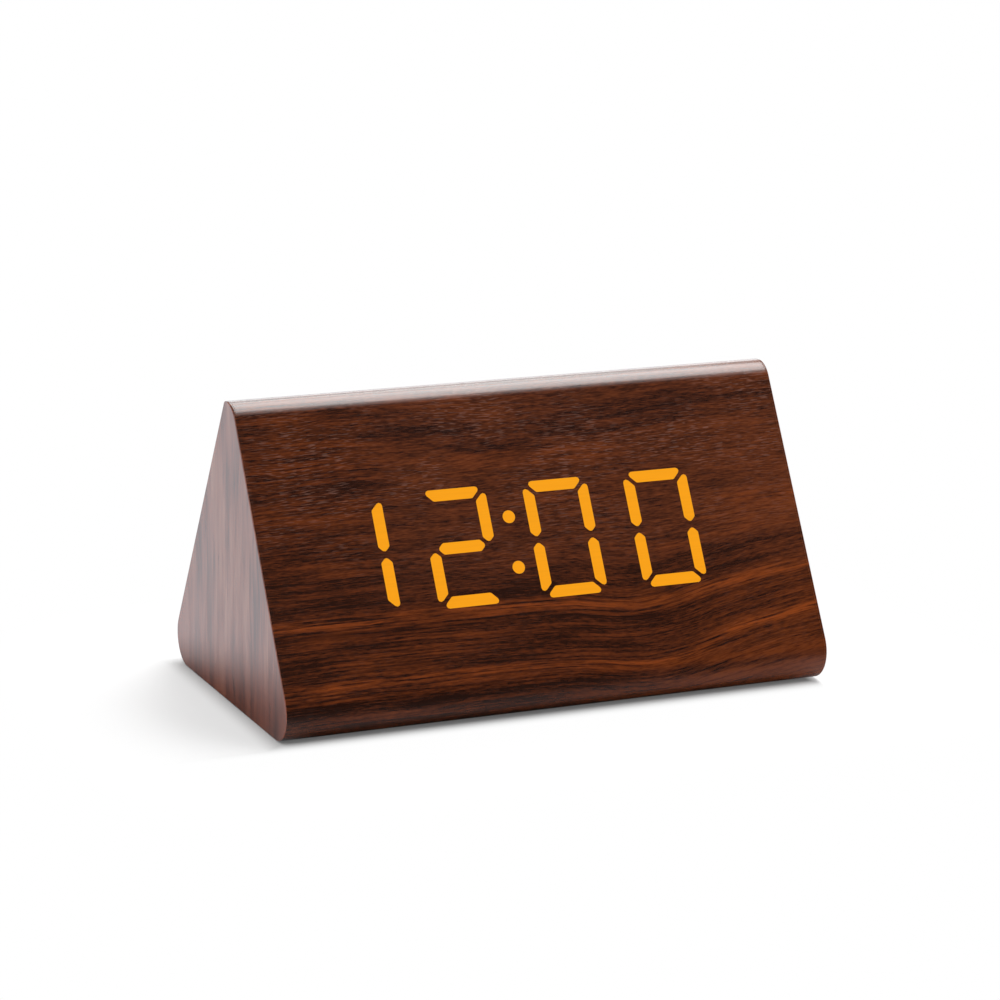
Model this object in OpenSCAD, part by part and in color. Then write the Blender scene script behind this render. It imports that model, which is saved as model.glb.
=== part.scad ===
// Triangular desk alarm clock: a rounded wood-grain prism on its side, with an amber display
// behind the front slope, push keys on the back slope and a battery bay in the base.
// Millimetres, +Z up, front towards -Y, origin under the middle of the body on the rest face.

/* [Body] */
// Overall width, end to end
body_w = 130; // [126:1:170]
// Overall depth, front to back
body_d = 73; // [73:1:90]
// Overall height, rest face to ridge
body_h = 68; // [66:1:85]
// Radius of the long edge at the front
front_edge_r = 7; // [4:0.5:8]
// Radius of the long edge at the back
back_edge_r = 6.6; // [4:0.2:8]
// Radius of the ridge
ridge_r = 5.6; // [4:0.2:8]
// How far the back slope lies inside the ridge's round, as a share of its radius
ridge_cut = 0.22; // [0.1:0.01:0.26]
// Lean of the narrow flat behind the ridge, in degrees
crest_lean = 8; // [5:1:10]
// Radius of the corner where that flat meets the back slope
crest_r = 1; // [0.6:0.1:1.4]
// Radius of the three long corners inside
inner_edge_r = 1; // [0.5:0.25:2]
// Thickness of the profile's walls, film included
wall_t = 6; // [5:0.25:6.5]
// Thickness of the film alone, over the display window
film_t = 0.5; // [0.4:0.05:0.8]
// Thickness of the plates that close the ends
plug_t = 6; // [4:0.5:7]
// Thickness of the film on the ends
veneer_t = 0.6; // [0.4:0.1:1]

/* [Display] */
// Hour shown
hours = 12; // [1:1:12]
// Minute shown
minutes = 0; // [0:1:59]
// Width of a digit
digit_w = 15.8; // [14:0.2:17]
// Height of a digit
digit_h = 26.8; // [22:0.2:29]
// Width of a segment's stroke
stroke_w = 2.6; // [2.2:0.1:3.4]
// Gap between neighbouring segments at a mitred corner
segment_gap = 1; // [0.6:0.1:1.4]
// Gap between the upper and lower segments at mid height
waist_gap = 1; // [0.4:0.1:1]
// Rounding of a segment's corners
segment_r = 0.7; // [0.2:0.1:0.8]
// Distance between digit centres
digit_pitch = 24.65; // [22:0.05:25]
// Diameter of the colon's dots
colon_d = 2.9; // [2:0.1:4]
// Distance between the colon's dots
colon_step = 11.6; // [8:0.2:14]
// Middle of the display, sideways from the middle of the body
display_x = -6; // [-6:0.5:6]
// Middle of the display, up the slope from the front edge's tangent line
display_v = 29.5; // [29:0.5:33]
// Rim of the reflector around the digits
reflector_rim = 3; // [2:0.25:3.5]
// Thickness of the diffuser behind the film
diffuser_t = 0.3; // [0.2:0.05:0.5]
// Length, width and height of an LED chip
led_size = [2, 1.2, 0.8]; // [0.5:0.1:3]
// Distance between the two LED chips of one segment
led_step = 4.4; // [3:0.2:6]

/* [Boards] */
// Thickness of both circuit boards
board_t = 1.6; // [1:0.2:2]
// Rim of the display board above and below the reflector
board_rim = 5.5; // [5:0.25:6]
// Distance of the display board from the end plates
board_end_gap = 1; // [0.5:0.25:3]
// Sideways distance of the display screws from the ends of their board
display_screw_x = 7.4; // [4:0.2:16]
// Width, depth and height of a cable connector
connector_size = [12, 4.5, 3]; // [2:0.1:14]
// Width of the cable between the boards
ribbon_w = 10; // [6:0.5:11]
// Thickness of that cable
ribbon_t = 0.7; // [0.5:0.1:1]
// Side and height of the controller chip
chip_size = [7, 1.4]; // [0.8:0.1:9]
// Diameter and thickness of the backup cell
backup_size = [12.5, 2]; // [1.6:0.1:13]
// Wall of the backup cell's clip
clip_t = 0.9; // [0.6:0.1:1]

/* [Controls] */
// Middle of the control panel, up the slope from the back edge's tangent line
panel_v = 31; // [29:0.5:33]
// Height of the opening in the back wall
control_h = 18; // [17:0.5:20]
// Thickness of the control panel's plate
panel_t = 2; // [1.6:0.1:2.4]
// Depth of the panel's face below the film
panel_inset = 0.3; // [0.1:0.1:0.6]
// Width of the panel's plate beyond the opening at each end
panel_ear = 5; // [4.5:0.5:8]
// Width of the panel's plate beyond the opening above and below
panel_lip = 3.5; // [2:0.5:5]
// Radius of the panel's corners
panel_r = 2; // [1:0.25:2.5]
// Wall of the panel's skirt inside the opening
skirt_t = 1.2; // [0.8:0.1:1.6]
// Diameter of a key
key_d = 8; // [6:0.5:10]
// Bevel around a key's top
key_edge = 0.5; // [0.2:0.1:0.8]
// Flat rim between a key's bevel and its dish
key_rim = 0.2; // [0.1:0.1:0.6]
// Depth of the dish in a key's top
key_dish_t = 0.5; // [0.2:0.1:0.8]
// Height of a key above the panel
key_proud = 1.2; // [0.8:0.1:2]
// Travel of a key
key_travel = 0.5; // [0.3:0.1:0.8]
// Overhang of a key's flange
key_lip = 1; // [0.6:0.1:1.5]
// Thickness of a key's flange
key_flange_t = 1; // [0.8:0.1:1.5]
// Length of the stem between flange and switch plunger
key_stem_l = 1.1; // [1:0.1:2]
// Clear space between neighbours in the row of controls
row_gap = 1.2; // [0.8:0.1:2]
// Side and height of a switch body
switch_size = [6, 3.5]; // [3:0.1:6.2]
// Diameter of a switch plunger
plunger_d = 3.4; // [3:0.1:3.8]
// Height of a switch plunger above its body
plunger_h = 1.5; // [1.2:0.1:2]
// Length of a plunger that stays inside its switch
plunger_guide = 0.7; // [0.4:0.1:1]
// Diameter of the bosses that carry the control board
boss_d = 4.6; // [4.2:0.1:6]
// Width and thickness of the power socket
socket_size = [8.94, 3.26]; // [3:0.02:9.5]
// Wall of the power socket's shell
socket_t = 0.3; // [0.2:0.05:0.4]
// Depth of the power socket's mouth below the panel's face
socket_inset = 0.6; // [0.2:0.1:1]
// Width and thickness of the power socket's tongue
tongue_size = [6.7, 0.72]; // [0.5:0.02:7]
// Depth of the tongue's end below the socket's mouth
tongue_inset = 1.2; // [0.6:0.1:2]
// Height of the tongue's foot
tongue_foot = 3.5; // [2:0.1:4]
// Diameter and height of the buzzer
buzzer_size = [9, 5.5]; // [4:0.1:10]
// Diameter and height of the microphone
mic_size = [4.5, 2.2]; // [1.8:0.1:5]
// Diameter of the sound holes
sound_hole_d = 1.2; // [0.8:0.1:1.4]

/* [Battery bay] */
// Diameter of a cell
cell_d = 10.5; // [10:0.1:10.8]
// Length of a cell, positive cap included
cell_l = 44.5; // [42:0.5:46]
// Diameter and height of a cell's positive cap
cell_cap = [3.8, 0.8]; // [0.6:0.1:4.4]
// Space between neighbouring cells
cell_space = 0.5; // [0.3:0.1:0.8]
// Height of the cells above the battery door
cell_lift = 1.2; // [1.1:0.1:1.5]
// Wall of the battery bay
bay_t = 1.5; // [1.2:0.1:2]
// Rise of the bay's ribs above the cells' axes
rib_rise = 3.2; // [2.5:0.1:4]
// Thickness of the base plate
plate_t = 2; // [1.9:0.1:2.4]
// Depth of the base plate's face above the rest face
base_inset = 0.4; // [0.2:0.1:0.8]
// Width of the base plate beyond the bay at the front and back
base_lip = 3.4; // [2.5:0.1:3.6]
// Width of the base plate beyond the bay at each end
base_ear = 11; // [8:0.5:20]
// Thickness of the battery door
door_t = 1.6; // [1.4:0.05:1.7]
// Overlap of the door on its seat
door_seat = 1; // [0.6:0.1:1.1]
// Width of the ledge that the door's tabs hook over
hook_ledge = 3.5; // [3.5:0.1:4]
// Width, reach and thickness of a door tab
tab_size = [3.6, 2.2, 0.8]; // [0.6:0.1:5]
// Radius of the finger notch at the door's free edge
notch_r = 6; // [4:0.5:8]
// Depth of the finger notch in the base plate
notch_t = 1.2; // [0.8:0.1:1.4]
// Thickness of the contact plates
contact_t = 0.4; // [0.3:0.1:0.6]
// Width and height of a contact plate
contact_size = [8, 7]; // [4:0.5:9]
// Length of a contact spring
spring_l = 4.4; // [4:0.1:6]
// Outer diameters of a spring at the plate and at the cell
spring_d = [7.4, 5]; // [4:0.1:8]
// Wire of a contact spring
spring_wire = 0.6; // [0.5:0.05:0.7]
// Turns of a contact spring
spring_turns = 3.5; // [2.5:0.5:3.5]
// Diameter of a battery lead
lead_d = 1.3; // [1:0.1:1.6]
// Sideways places of the two battery leads
lead_x = [-8.5, -11.2]; // [-14:0.1:-7.5]

/* [Fasteners and fits] */
// Head diameter, head height and shank diameter of the large screws
base_screw = [4.6, 1.1, 2.2]; // [0.8:0.1:5]
// Head diameter, head height and shank diameter of the small screws
small_screw = [3.8, 1.1, 1.8]; // [0.8:0.1:4]
// Depth that a screw reaches into the wood or a boss
screw_bite = 3; // [2:0.25:3.2]
// Clearance between a screw and its hole, on the radius
screw_gap = 0.1; // [0.05:0.05:0.2]
// Clearance of pieces set into the wood, on each side
set_gap = 0.25; // [0.1:0.05:0.4]
// Clearance of the end plates in the profile
plug_gap = 0.1; // [0.05:0.05:0.2]
// Clearance around a moving piece
run_gap = 0.2; // [0.15:0.05:0.3]
// Clearance behind a key or a door at rest
rest_gap = 0.1; // [0.05:0.05:0.2]

/* [Hidden] */
$fn = 64;
// Steps in a segment's round corner
arc_steps = 3;
// Overshoot of a cutting shape
cut = 1;
// Depth of a slope inside the line that its round edges touch, which keeps their seams clean
blend = 0.002;
// Cross in a screw's head: length, width and depth as shares of the head's diameter and height
screw_cross = [0.6, 1 / 6, 0.5];
// Sides of the springs' wire and of the battery leads
wire_sides = 6;
lead_sides = 8;
// Cells side by side, one node each
cell_count = 4;

// Colours
walnut = "#4c2a1d";
end_grain = "#8a736f";
fibreboard = "#a9855c";
amber = "#ffa414";
dark_plastic = "#1d1d1f";
milky = "#e9e6df";
board_green = "#1f5b34";
steel = "#b9bcc0";
black_part = "#26262a";

// Slopes: the outer normal of a side that is tangent to an edge and to a circle about the
// ridge's centre, as (y, z)
function unit(v) = v / norm(v);
function slope_normal(edge_r, top_r) =
    let (run = [body_d / 2 - edge_r, body_h - ridge_r - edge_r],
         along = unit(run),
         lean = (edge_r - top_r) / norm(run))
    sqrt(1 - lean * lean) * [-along[1], along[0]] + lean * along;
function slope_foot(edge_r, top_r) =
    [edge_r - body_d / 2, edge_r] + (edge_r - blend) * slope_normal(edge_r, top_r);
function slope_tilt(edge_r, top_r) = let (n = slope_normal(edge_r, top_r)) atan2(-n[0], n[1]);
cut_r = (1 - ridge_cut) * ridge_r;
front_foot = slope_foot(front_edge_r, ridge_r);
front_tilt = slope_tilt(front_edge_r, ridge_r);
back_foot = slope_foot(back_edge_r, cut_r);
back_tilt = slope_tilt(back_edge_r, cut_r);
front_normal = slope_normal(front_edge_r, ridge_r);
back_normal = let (n = slope_normal(back_edge_r, cut_r)) [-n[0], n[1]];
crest_normal = [sin(crest_lean), cos(crest_lean)];

// Sides of the section, base, back and front: normal, distance of the line that the round edges
// touch, and how far the flat face lies inside that line
sides = [
    [[0, -1], 0, 0],
    [back_normal, back_normal * [-back_foot[0], back_foot[1]] + blend, blend],
    [front_normal, front_normal * front_foot + blend, blend]];
crest = [crest_normal, crest_normal * [0, body_h - ridge_r] + ridge_r, blend];
outer_sides = [sides[0], sides[1], crest, sides[2]];
outer_r = [back_edge_r, crest_r, ridge_r, front_edge_r];
inner_r = [inner_edge_r, inner_edge_r, inner_edge_r];
core_x = body_w / 2 - veneer_t;
inner_x = core_x - plug_t;

// Display: segment outlines of one digit about its middle
half_w = digit_w / 2;
half_h = digit_h / 2;
mitre = segment_gap / sqrt(2);
waist = waist_gap / 2;
nest = segment_gap * sqrt(2) - waist;
bar_top = [
    [-half_w + mitre, half_h], [-half_w + stroke_w + mitre, half_h - stroke_w],
    [half_w - stroke_w - mitre, half_h - stroke_w], [half_w - mitre, half_h]];
bar_side = [
    [-half_w, half_h - mitre], [-half_w, waist + stroke_w / 2], [-half_w + stroke_w / 2, waist],
    [-half_w + stroke_w, waist + stroke_w / 2], [-half_w + stroke_w, half_h - stroke_w - mitre]];
middle_tip = half_w - stroke_w / 2 - nest;
middle_end = middle_tip - stroke_w / 2;
bar_middle = [
    [-middle_tip, 0], [-middle_end, stroke_w / 2], [middle_end, stroke_w / 2],
    [middle_tip, 0], [middle_end, -stroke_w / 2], [-middle_end, -stroke_w / 2]];
function flipped(points, x, y) = [for (p = points) [p[0] * x, p[1] * y]];
segments = [
    bar_top, flipped(bar_side, -1, 1), flipped(bar_side, -1, -1), flipped(bar_top, 1, -1),
    flipped(bar_side, 1, -1), bar_side, bar_middle];
lit_table = [
    [0, 1, 2, 3, 4, 5], [1, 2], [0, 1, 3, 4, 6], [0, 1, 2, 3, 6], [1, 2, 5, 6],
    [0, 2, 3, 5, 6], [0, 2, 3, 4, 5, 6], [0, 1, 2], [0, 1, 2, 3, 4, 5, 6], [0, 1, 2, 3, 5, 6]];
shown = [floor(hours / 10), hours % 10, floor(minutes / 10), minutes % 10];
function digit_x(i) = display_x + (i - 1.5) * digit_pitch;
reflector_w = 3 * digit_pitch + digit_w + 2 * reflector_rim;
reflector_h = digit_h + 2 * reflector_rim;
display_board_w = 2 * (inner_x - board_end_gap);
display_board_h = reflector_h + 2 * board_rim;
display_screw_v = reflector_h / 2 + board_rim / 2;
display_screw_side = display_board_w / 2 - display_screw_x;

// Row of controls along the panel: boss, three keys, socket, buzzer, boss
key_flange_d = key_d + 2 * key_lip;
row = [boss_d, key_flange_d, key_flange_d, key_flange_d, socket_size[0], buzzer_size[0], boss_d];
function row_sum(i) = i < 0 ? 0 : row[i] + row_gap + row_sum(i - 1);
row_l = row_sum(len(row) - 1) - row_gap;
function row_x(i) = row_sum(i - 1) + row[i] / 2 - row_l / 2;
control_w = row_l + 2 * (row_gap + skirt_t + set_gap);
panel_w = control_w + 2 * panel_ear;
panel_h = control_h + 2 * panel_lip;
panel_back = -panel_inset - panel_t;
panel_screw_x = control_w / 2 + panel_ear / 2;
key_top = key_proud - panel_inset;
key_flange_z = panel_back - rest_gap;
boss_l = rest_gap + key_flange_t + key_stem_l + plunger_h + switch_size[1];
board_z = panel_back - boss_l;
board_back = board_z - board_t;
control_board_w = control_w - 2 * set_gap;
control_board_h = control_h - 2 * set_gap;
plunger_top = board_z + switch_size[1] + plunger_h;
plunger_sunk = key_travel + plunger_guide;
mic_x = (row_x(3) + row_x(4)) / 2;
mic_y = control_h / 2 - skirt_t - set_gap - mic_size[0] / 2 - row_gap;
chip_x = row_x(1);
clip_d = backup_size[0] + 2 * (clip_t + rest_gap);
clip_x = row_x(6) - boss_d / 2 - row_gap - clip_d / 2;

// Battery bay
cell_pitch = cell_d + cell_space;
function cell_y(i) = (i - (cell_count - 1) / 2) * cell_pitch;
bay_w = cell_count * cell_pitch;
bay_l = cell_l + 2 * contact_t + spring_l;
door_z = base_inset + door_t;
plate_top = base_inset + plate_t;
cell_z = door_z + cell_lift + cell_d / 2;
groove_r = cell_d / 2 + run_gap;
bay_top = cell_z + groove_r + bay_t;
tray_w = bay_w + 2 * bay_t;
tray_l = bay_l + 2 * bay_t;
base_w = tray_w + 2 * base_lip;
base_l = tray_l + 2 * base_ear;
base_screw_x = tray_l / 2 + base_ear / 2;
base_screw_y = base_w / 2 - base_lip - base_screw[0];
hinge_x = -bay_l / 2 + hook_ledge + set_gap;
door_end_x = bay_l / 2 + door_seat;
door_w = bay_w + 2 * door_seat;

// Cables: smooth curves from end to end, as points in (y, z)
function bezier(a, b, c, d, t) =
    pow(1 - t, 3) * a + 3 * t * pow(1 - t, 2) * b + 3 * t * t * (1 - t) * c + t * t * t * d;
function front_point(v, depth) =
    front_foot + v * [front_normal[1], -front_normal[0]] - depth * front_normal;
function back_point(v, depth) =
    [-back_foot[0], back_foot[1]] + v * [-back_normal[1], back_normal[0]] - depth * back_normal;
curve_steps = 14;
// Length over which the ribbon and the leads leave their ends straight
ribbon_reach = 6;
lead_reach = 4;
ribbon_start = front_point(display_v, wall_t + board_t + connector_size[2]);
ribbon_end = back_point(panel_v, connector_size[2] - board_back);
ribbon_path = [
    for (i = [0:curve_steps])
    bezier(ribbon_start, ribbon_start - ribbon_reach * front_normal,
           ribbon_end - ribbon_reach * back_normal, ribbon_end, i / curve_steps)];
lead_end = back_point(panel_v - control_board_h / 2 + lead_d, -board_back);
lead_start = [lead_end[0] - lead_d, bay_top];
lead_path = [
    for (i = [0:curve_steps])
    bezier(lead_start, lead_start + [0, lead_reach], lead_end - lead_reach * back_normal,
           lead_end, i / curve_steps)];

// A contact spring's centre line along +X from its plate, and the least gap between its turns
spring_rings = 10;
spring_count = spring_turns * spring_rings;
function spring_point(i) =
    let (t = i / spring_count,
         r = (spring_d[0] * (1 - t) + spring_d[1] * t - spring_wire) / 2,
         a = 360 * i / spring_rings)
    [spring_wire / 2 + t * (spring_l - spring_wire), r * cos(a), r * sin(a)];
spring_path = [for (i = [0:spring_count]) spring_point(i)];
spring_self_gap = min([
    for (i = [0:spring_count])
    for (j = [i + spring_rings / 2:spring_count])
    norm(spring_path[i] - spring_path[j])]) - spring_wire;
echo(spring_self_gap = spring_self_gap);

// Shared shapes
function meet(side, other, inset) =
    let (n = side[0], m = other[0], a = side[1] - inset, b = other[1] - inset,
         k = n[0] * m[1] - n[1] * m[0])
    [a * m[1] - b * n[1], n[0] * b - m[0] * a] / k;

// Rounded section with its sides moved inward
module section(inset, flats, radii) {
    last = len(flats) - 1;
    function next(i) = flats[i == last ? 0 : i + 1];
    centres = [for (i = [0:last]) meet(flats[i], next(i), inset + radii[i])];
    function foot(i, side) = centres[i] + (radii[i] - side[2]) * side[0];
    polygon([for (i = [0:last]) each [foot(i, flats[i]), foot(i, next(i))]]);
    for (i = [0:last]) translate(centres[i]) circle(radii[i]);
}

module prism(x0, x1) {
    translate([x0, 0, 0]) rotate([90, 0, 90]) linear_extrude(x1 - x0) children();
}

// Frames on the slopes: x along the body, y up the slope, z outward, zero on the film
module on_front() {
    translate([0, front_foot[0], front_foot[1]]) rotate([front_tilt, 0, 0]) children();
}

module on_display() {
    on_front() translate([0, display_v, 0]) children();
}

module on_panel() {
    rotate([0, 0, 180]) translate([0, back_foot[0], back_foot[1]]) rotate([back_tilt, 0, 0])
        translate([0, panel_v, 0]) children();
}

module slab(w, h, z0, z1) {
    translate([-w / 2, -h / 2, z0]) cube([w, h, z1 - z0]);
}

module round_rect(w, h, r) {
    square([w - 2 * r, h], center = true);
    square([w, h - 2 * r], center = true);
    for (x = [-1, 1], y = [-1, 1])
        translate([x * (w / 2 - r), y * (h / 2 - r)]) circle(r);
}

module round_slab(w, h, r, z0, z1) {
    translate([0, 0, z0]) linear_extrude(z1 - z0) round_rect(w, h, r);
}

module stadium(w, h) {
    square([w - h, h], center = true);
    for (x = [-1, 1]) translate([x * (w - h) / 2, 0]) circle(d = h);
}

// Screw with its head's seat at z = 0 and its shank down -Z
module screw(kind, length) {
    difference() {
        union() {
            cylinder(d = kind[0], h = kind[1]);
            translate([0, 0, -length]) cylinder(d = kind[2], h = length + cut / 2);
        }
        for (a = [0, 90]) rotate(a)
            slab(kind[0] * screw_cross[0], kind[0] * screw_cross[1],
                 kind[1] * (1 - screw_cross[2]), kind[1] + cut);
    }
}

module screw_hole(kind, depth) {
    translate([0, 0, -depth]) cylinder(r = kind[2] / 2 + screw_gap, h = depth + cut);
}

// Closed tube along 3-D points
module tube(path, d, ring_sides) {
    last = len(path) - 1;
    function along(i) = unit(path[min(i + 1, last)] - path[max(i - 1, 0)]);
    function across(i) = unit(cross(along(i), abs(along(i)[0]) > 0.9 ? [0, 0, 1] : [1, 0, 0]));
    rings = [
        for (i = [0:last], k = [0:ring_sides - 1])
        let (a = 360 * k / ring_sides, u = across(i), w = cross(along(i), u))
        path[i] + d / 2 * (cos(a) * u + sin(a) * w)];
    polyhedron(
        points = rings,
        faces = [
            for (i = [0:last - 1], k = [0:ring_sides - 1])
            let (a = i * ring_sides + k, b = i * ring_sides + (k + 1) % ring_sides)
            each [[a, b, b + ring_sides], [a, b + ring_sides, a + ring_sides]],
            for (k = [1:ring_sides - 2])
            each [[0, k + 1, k],
                  [last * ring_sides, last * ring_sides + k, last * ring_sides + k + 1]]],
        convexity = 8);
}

// Polygon with each corner turned into an arc
function corner_arc(before, at, after) =
    let (a = unit(before - at), b = unit(after - at), half = acos(a * b) / 2,
         centre = at + unit(a + b) * segment_r / sin(half),
         from = at + a * segment_r / tan(half) - centre,
         to = at + b * segment_r / tan(half) - centre,
         start = atan2(from[1], from[0]),
         sweep = atan2(from[0] * to[1] - from[1] * to[0], from * to))
    [for (j = [0:arc_steps])
        centre + segment_r * [cos(start + sweep * j / arc_steps), sin(start + sweep * j / arc_steps)]];
function rounded(points) =
    let (n = len(points))
    [for (i = [0:n - 1]) each corner_arc(points[(i + n - 1) % n], points[i], points[(i + 1) % n])];

// Body
module lit_digit(i, z0, z1) {
    translate([digit_x(i), 0, z0]) linear_extrude(z1 - z0)
        for (s = lit_table[shown[i]]) polygon(rounded(segments[s]));
}

module dots(z0, z1) {
    for (y = [-1, 1])
        translate([display_x, y * colon_step / 2, z0]) cylinder(d = colon_d, h = z1 - z0);
}

module wood_shell() {
    color(walnut) difference() {
        prism(-core_x, core_x) section(0, outer_sides, outer_r);
        prism(-body_w, body_w) section(wall_t, sides, inner_r);
        on_display() {
            translate([display_x, 0, 0])
                slab(reflector_w + 2 * set_gap, reflector_h + 2 * set_gap, -wall_t - cut, -film_t);
            for (i = [0:3]) lit_digit(i, -film_t - cut, cut);
            dots(-film_t - cut, cut);
            for (x = [-1, 1], y = [-1, 1])
                translate([x * display_screw_side, y * display_screw_v, -wall_t])
                    mirror([0, 0, 1]) screw_hole(small_screw, screw_bite + screw_gap);
        }
        on_panel() {
            round_slab(panel_w + 2 * set_gap, panel_h + 2 * set_gap, panel_r, panel_back, cut);
            slab(control_w, control_h, -wall_t - cut, cut);
            for (x = [-1, 1]) translate([x * panel_screw_x, 0, panel_back])
                screw_hole(small_screw, screw_bite + screw_gap);
        }
        slab(base_l + 2 * set_gap, base_w + 2 * set_gap, -cut, plate_top);
        slab(tray_l + 2 * set_gap, tray_w + 2 * set_gap, -cut, wall_t + cut);
        for (x = [-1, 1], y = [-1, 1])
            translate([x * base_screw_x, y * base_screw_y, plate_top])
                mirror([0, 0, 1]) screw_hole(base_screw, screw_bite + screw_gap);
    }
}

module end_plug(side) {
    color(fibreboard) mirror([side < 0 ? 1 : 0, 0, 0])
        prism(inner_x, core_x) section(wall_t + plug_gap, sides, inner_r);
}

module end_veneer(side) {
    color(end_grain) mirror([side < 0 ? 1 : 0, 0, 0])
        prism(core_x, body_w / 2) section(0, outer_sides, outer_r);
}

// Display
module digit(i) {
    color(amber) on_display() lit_digit(i, -film_t, 0);
}

module colon_dots() {
    color(amber) on_display() dots(-film_t, 0);
}

module diffuser_film() {
    color(milky) on_display() translate([display_x, 0, 0])
        slab(reflector_w, reflector_h, -film_t - diffuser_t, -film_t);
}

module segment_reflector() {
    color(milky) on_display() difference() {
        translate([display_x, 0, 0]) slab(reflector_w, reflector_h, -wall_t, -film_t - diffuser_t);
        for (i = [0:3]) translate([digit_x(i), 0, -wall_t - cut])
            linear_extrude(wall_t + cut) for (points = segments) polygon(points);
        dots(-wall_t - cut, 0);
    }
}

module display_board() {
    color(board_green) on_display() difference() {
        slab(display_board_w, display_board_h, -wall_t - board_t, -wall_t);
        for (x = [-1, 1], y = [-1, 1])
            translate([x * display_screw_side, y * display_screw_v, -wall_t])
                screw_hole(small_screw, board_t + cut);
    }
}

module segment_leds() {
    bar_y = half_h - stroke_w / 2;
    side_x = half_w - stroke_w / 2;
    color("#f4d9a0") on_display() translate([0, 0, -wall_t]) {
        for (i = [0:3], s = [-1, 1]) translate([digit_x(i), 0, 0]) {
            for (y = [-bar_y, 0, bar_y]) translate([s * led_step / 2, y, 0])
                slab(led_size[0], led_size[1], 0, led_size[2]);
            for (x = [-side_x, side_x], y = [-1, 1])
                translate([x, y * bar_y / 2 + s * led_step / 2, 0])
                    slab(led_size[1], led_size[0], 0, led_size[2]);
        }
        for (y = [-1, 1]) translate([display_x, y * colon_step / 2, 0])
            slab(led_size[0], led_size[1], 0, led_size[2]);
    }
}

module connector() {
    slab(connector_size[0], connector_size[1], -connector_size[2], 0);
}

module display_connector() {
    color(black_part) on_display() translate([0, 0, -wall_t - board_t]) connector();
}

module display_screws() {
    color(steel) on_display() for (x = [-1, 1], y = [-1, 1])
        translate([x * display_screw_side, y * display_screw_v, -wall_t - board_t])
            mirror([0, 0, 1]) screw(small_screw, board_t + screw_bite);
}

module display_ribbon() {
    last = len(ribbon_path) - 1;
    function side_step(i) =
        let (t = i == 0 ? -front_normal : i == last ? back_normal :
                 unit(ribbon_path[i + 1] - ribbon_path[i - 1]))
        ribbon_t / 2 * [-t[1], t[0]];
    color("#9aa0a6") prism(-ribbon_w / 2, ribbon_w / 2) polygon([
        for (i = [0:last]) ribbon_path[i] + side_step(i),
        for (i = [last:-1:0]) ribbon_path[i] - side_step(i)]);
}

// Controls on the back slope
module control_panel() {
    pocket_z = -panel_inset - small_screw[1] - panel_inset;
    color(dark_plastic) on_panel() difference() {
        union() {
            round_slab(panel_w, panel_h, panel_r, panel_back, -panel_inset);
            difference() {
                slab(control_w - 2 * set_gap, control_h - 2 * set_gap, -wall_t, panel_back);
                slab(control_w - 2 * (set_gap + skirt_t), control_h - 2 * (set_gap + skirt_t),
                     -wall_t - cut, panel_back);
            }
            for (i = [0, 6]) translate([row_x(i), 0, board_z]) cylinder(d = boss_d, h = boss_l);
        }
        for (i = [1:3]) translate([row_x(i), 0, panel_back - cut])
            cylinder(r = key_d / 2 + run_gap, h = panel_t + 2 * cut);
        translate([row_x(4), 0, panel_back - cut]) linear_extrude(panel_t + 2 * cut)
            stadium(socket_size[0] + 2 * set_gap, socket_size[1] + 2 * set_gap);
        translate([row_x(5), 0, panel_back - cut]) {
            cylinder(d = sound_hole_d, h = panel_t + 2 * cut);
            for (a = [0:60:300]) rotate(a) translate([buzzer_size[0] / 4, 0, 0])
                cylinder(d = sound_hole_d, h = panel_t + 2 * cut);
        }
        translate([mic_x, mic_y, panel_back - cut])
            cylinder(d = sound_hole_d, h = panel_t + 2 * cut);
        for (i = [0, 6]) translate([row_x(i), 0, board_z])
            mirror([0, 0, 1]) screw_hole(small_screw, screw_bite + screw_gap);
        for (x = [-1, 1]) translate([x * panel_screw_x, 0, pocket_z]) {
            screw_hole(small_screw, panel_t + cut);
            cylinder(r = small_screw[0] / 2 + screw_gap, h = panel_t + cut);
        }
    }
}

module panel_screws() {
    seat = -2 * panel_inset - small_screw[1];
    color(steel) on_panel() for (x = [-1, 1]) translate([x * panel_screw_x, 0, seat])
        screw(small_screw, screw_bite + seat - panel_back);
}

module control_board() {
    color(board_green) on_panel() difference() {
        slab(control_board_w, control_board_h, board_back, board_z);
        for (i = [0, 6]) translate([row_x(i), 0, board_z]) screw_hole(small_screw, board_t + cut);
    }
}

module board_screws() {
    color(steel) on_panel() for (i = [0, 6]) translate([row_x(i), 0, board_back])
        mirror([0, 0, 1]) screw(small_screw, board_t + screw_bite);
}

module key(i) {
    dish_w = key_d / 2 - key_edge - key_rim;
    dish_r = (dish_w * dish_w + key_dish_t * key_dish_t) / (2 * key_dish_t);
    color(dark_plastic) on_panel() translate([row_x(i), 0, 0]) difference() {
        union() {
            translate([0, 0, key_flange_z - cut / 2])
                cylinder(d = key_d, h = key_top - key_edge - key_flange_z + cut / 2);
            translate([0, 0, key_top - key_edge])
                cylinder(d1 = key_d, d2 = key_d - 2 * key_edge, h = key_edge);
            translate([0, 0, key_flange_z - key_flange_t])
                cylinder(d = key_flange_d, h = key_flange_t);
            translate([0, 0, plunger_top])
                cylinder(d = plunger_d, h = key_stem_l + cut / 2);
        }
        translate([0, 0, key_top + dish_r - key_dish_t]) sphere(dish_r);
    }
}

module key_switch(i) {
    color(black_part) on_panel() translate([row_x(i), 0, 0]) difference() {
        slab(switch_size[0], switch_size[0], board_z, board_z + switch_size[1]);
        translate([0, 0, plunger_top - plunger_h - plunger_sunk - key_travel - run_gap])
            cylinder(r = plunger_d / 2 + run_gap, h = switch_size[1]);
    }
}

module plunger(i) {
    color(milky) on_panel() translate([row_x(i), 0, plunger_top - plunger_h - plunger_sunk])
        cylinder(d = plunger_d, h = plunger_h + plunger_sunk);
}

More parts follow.
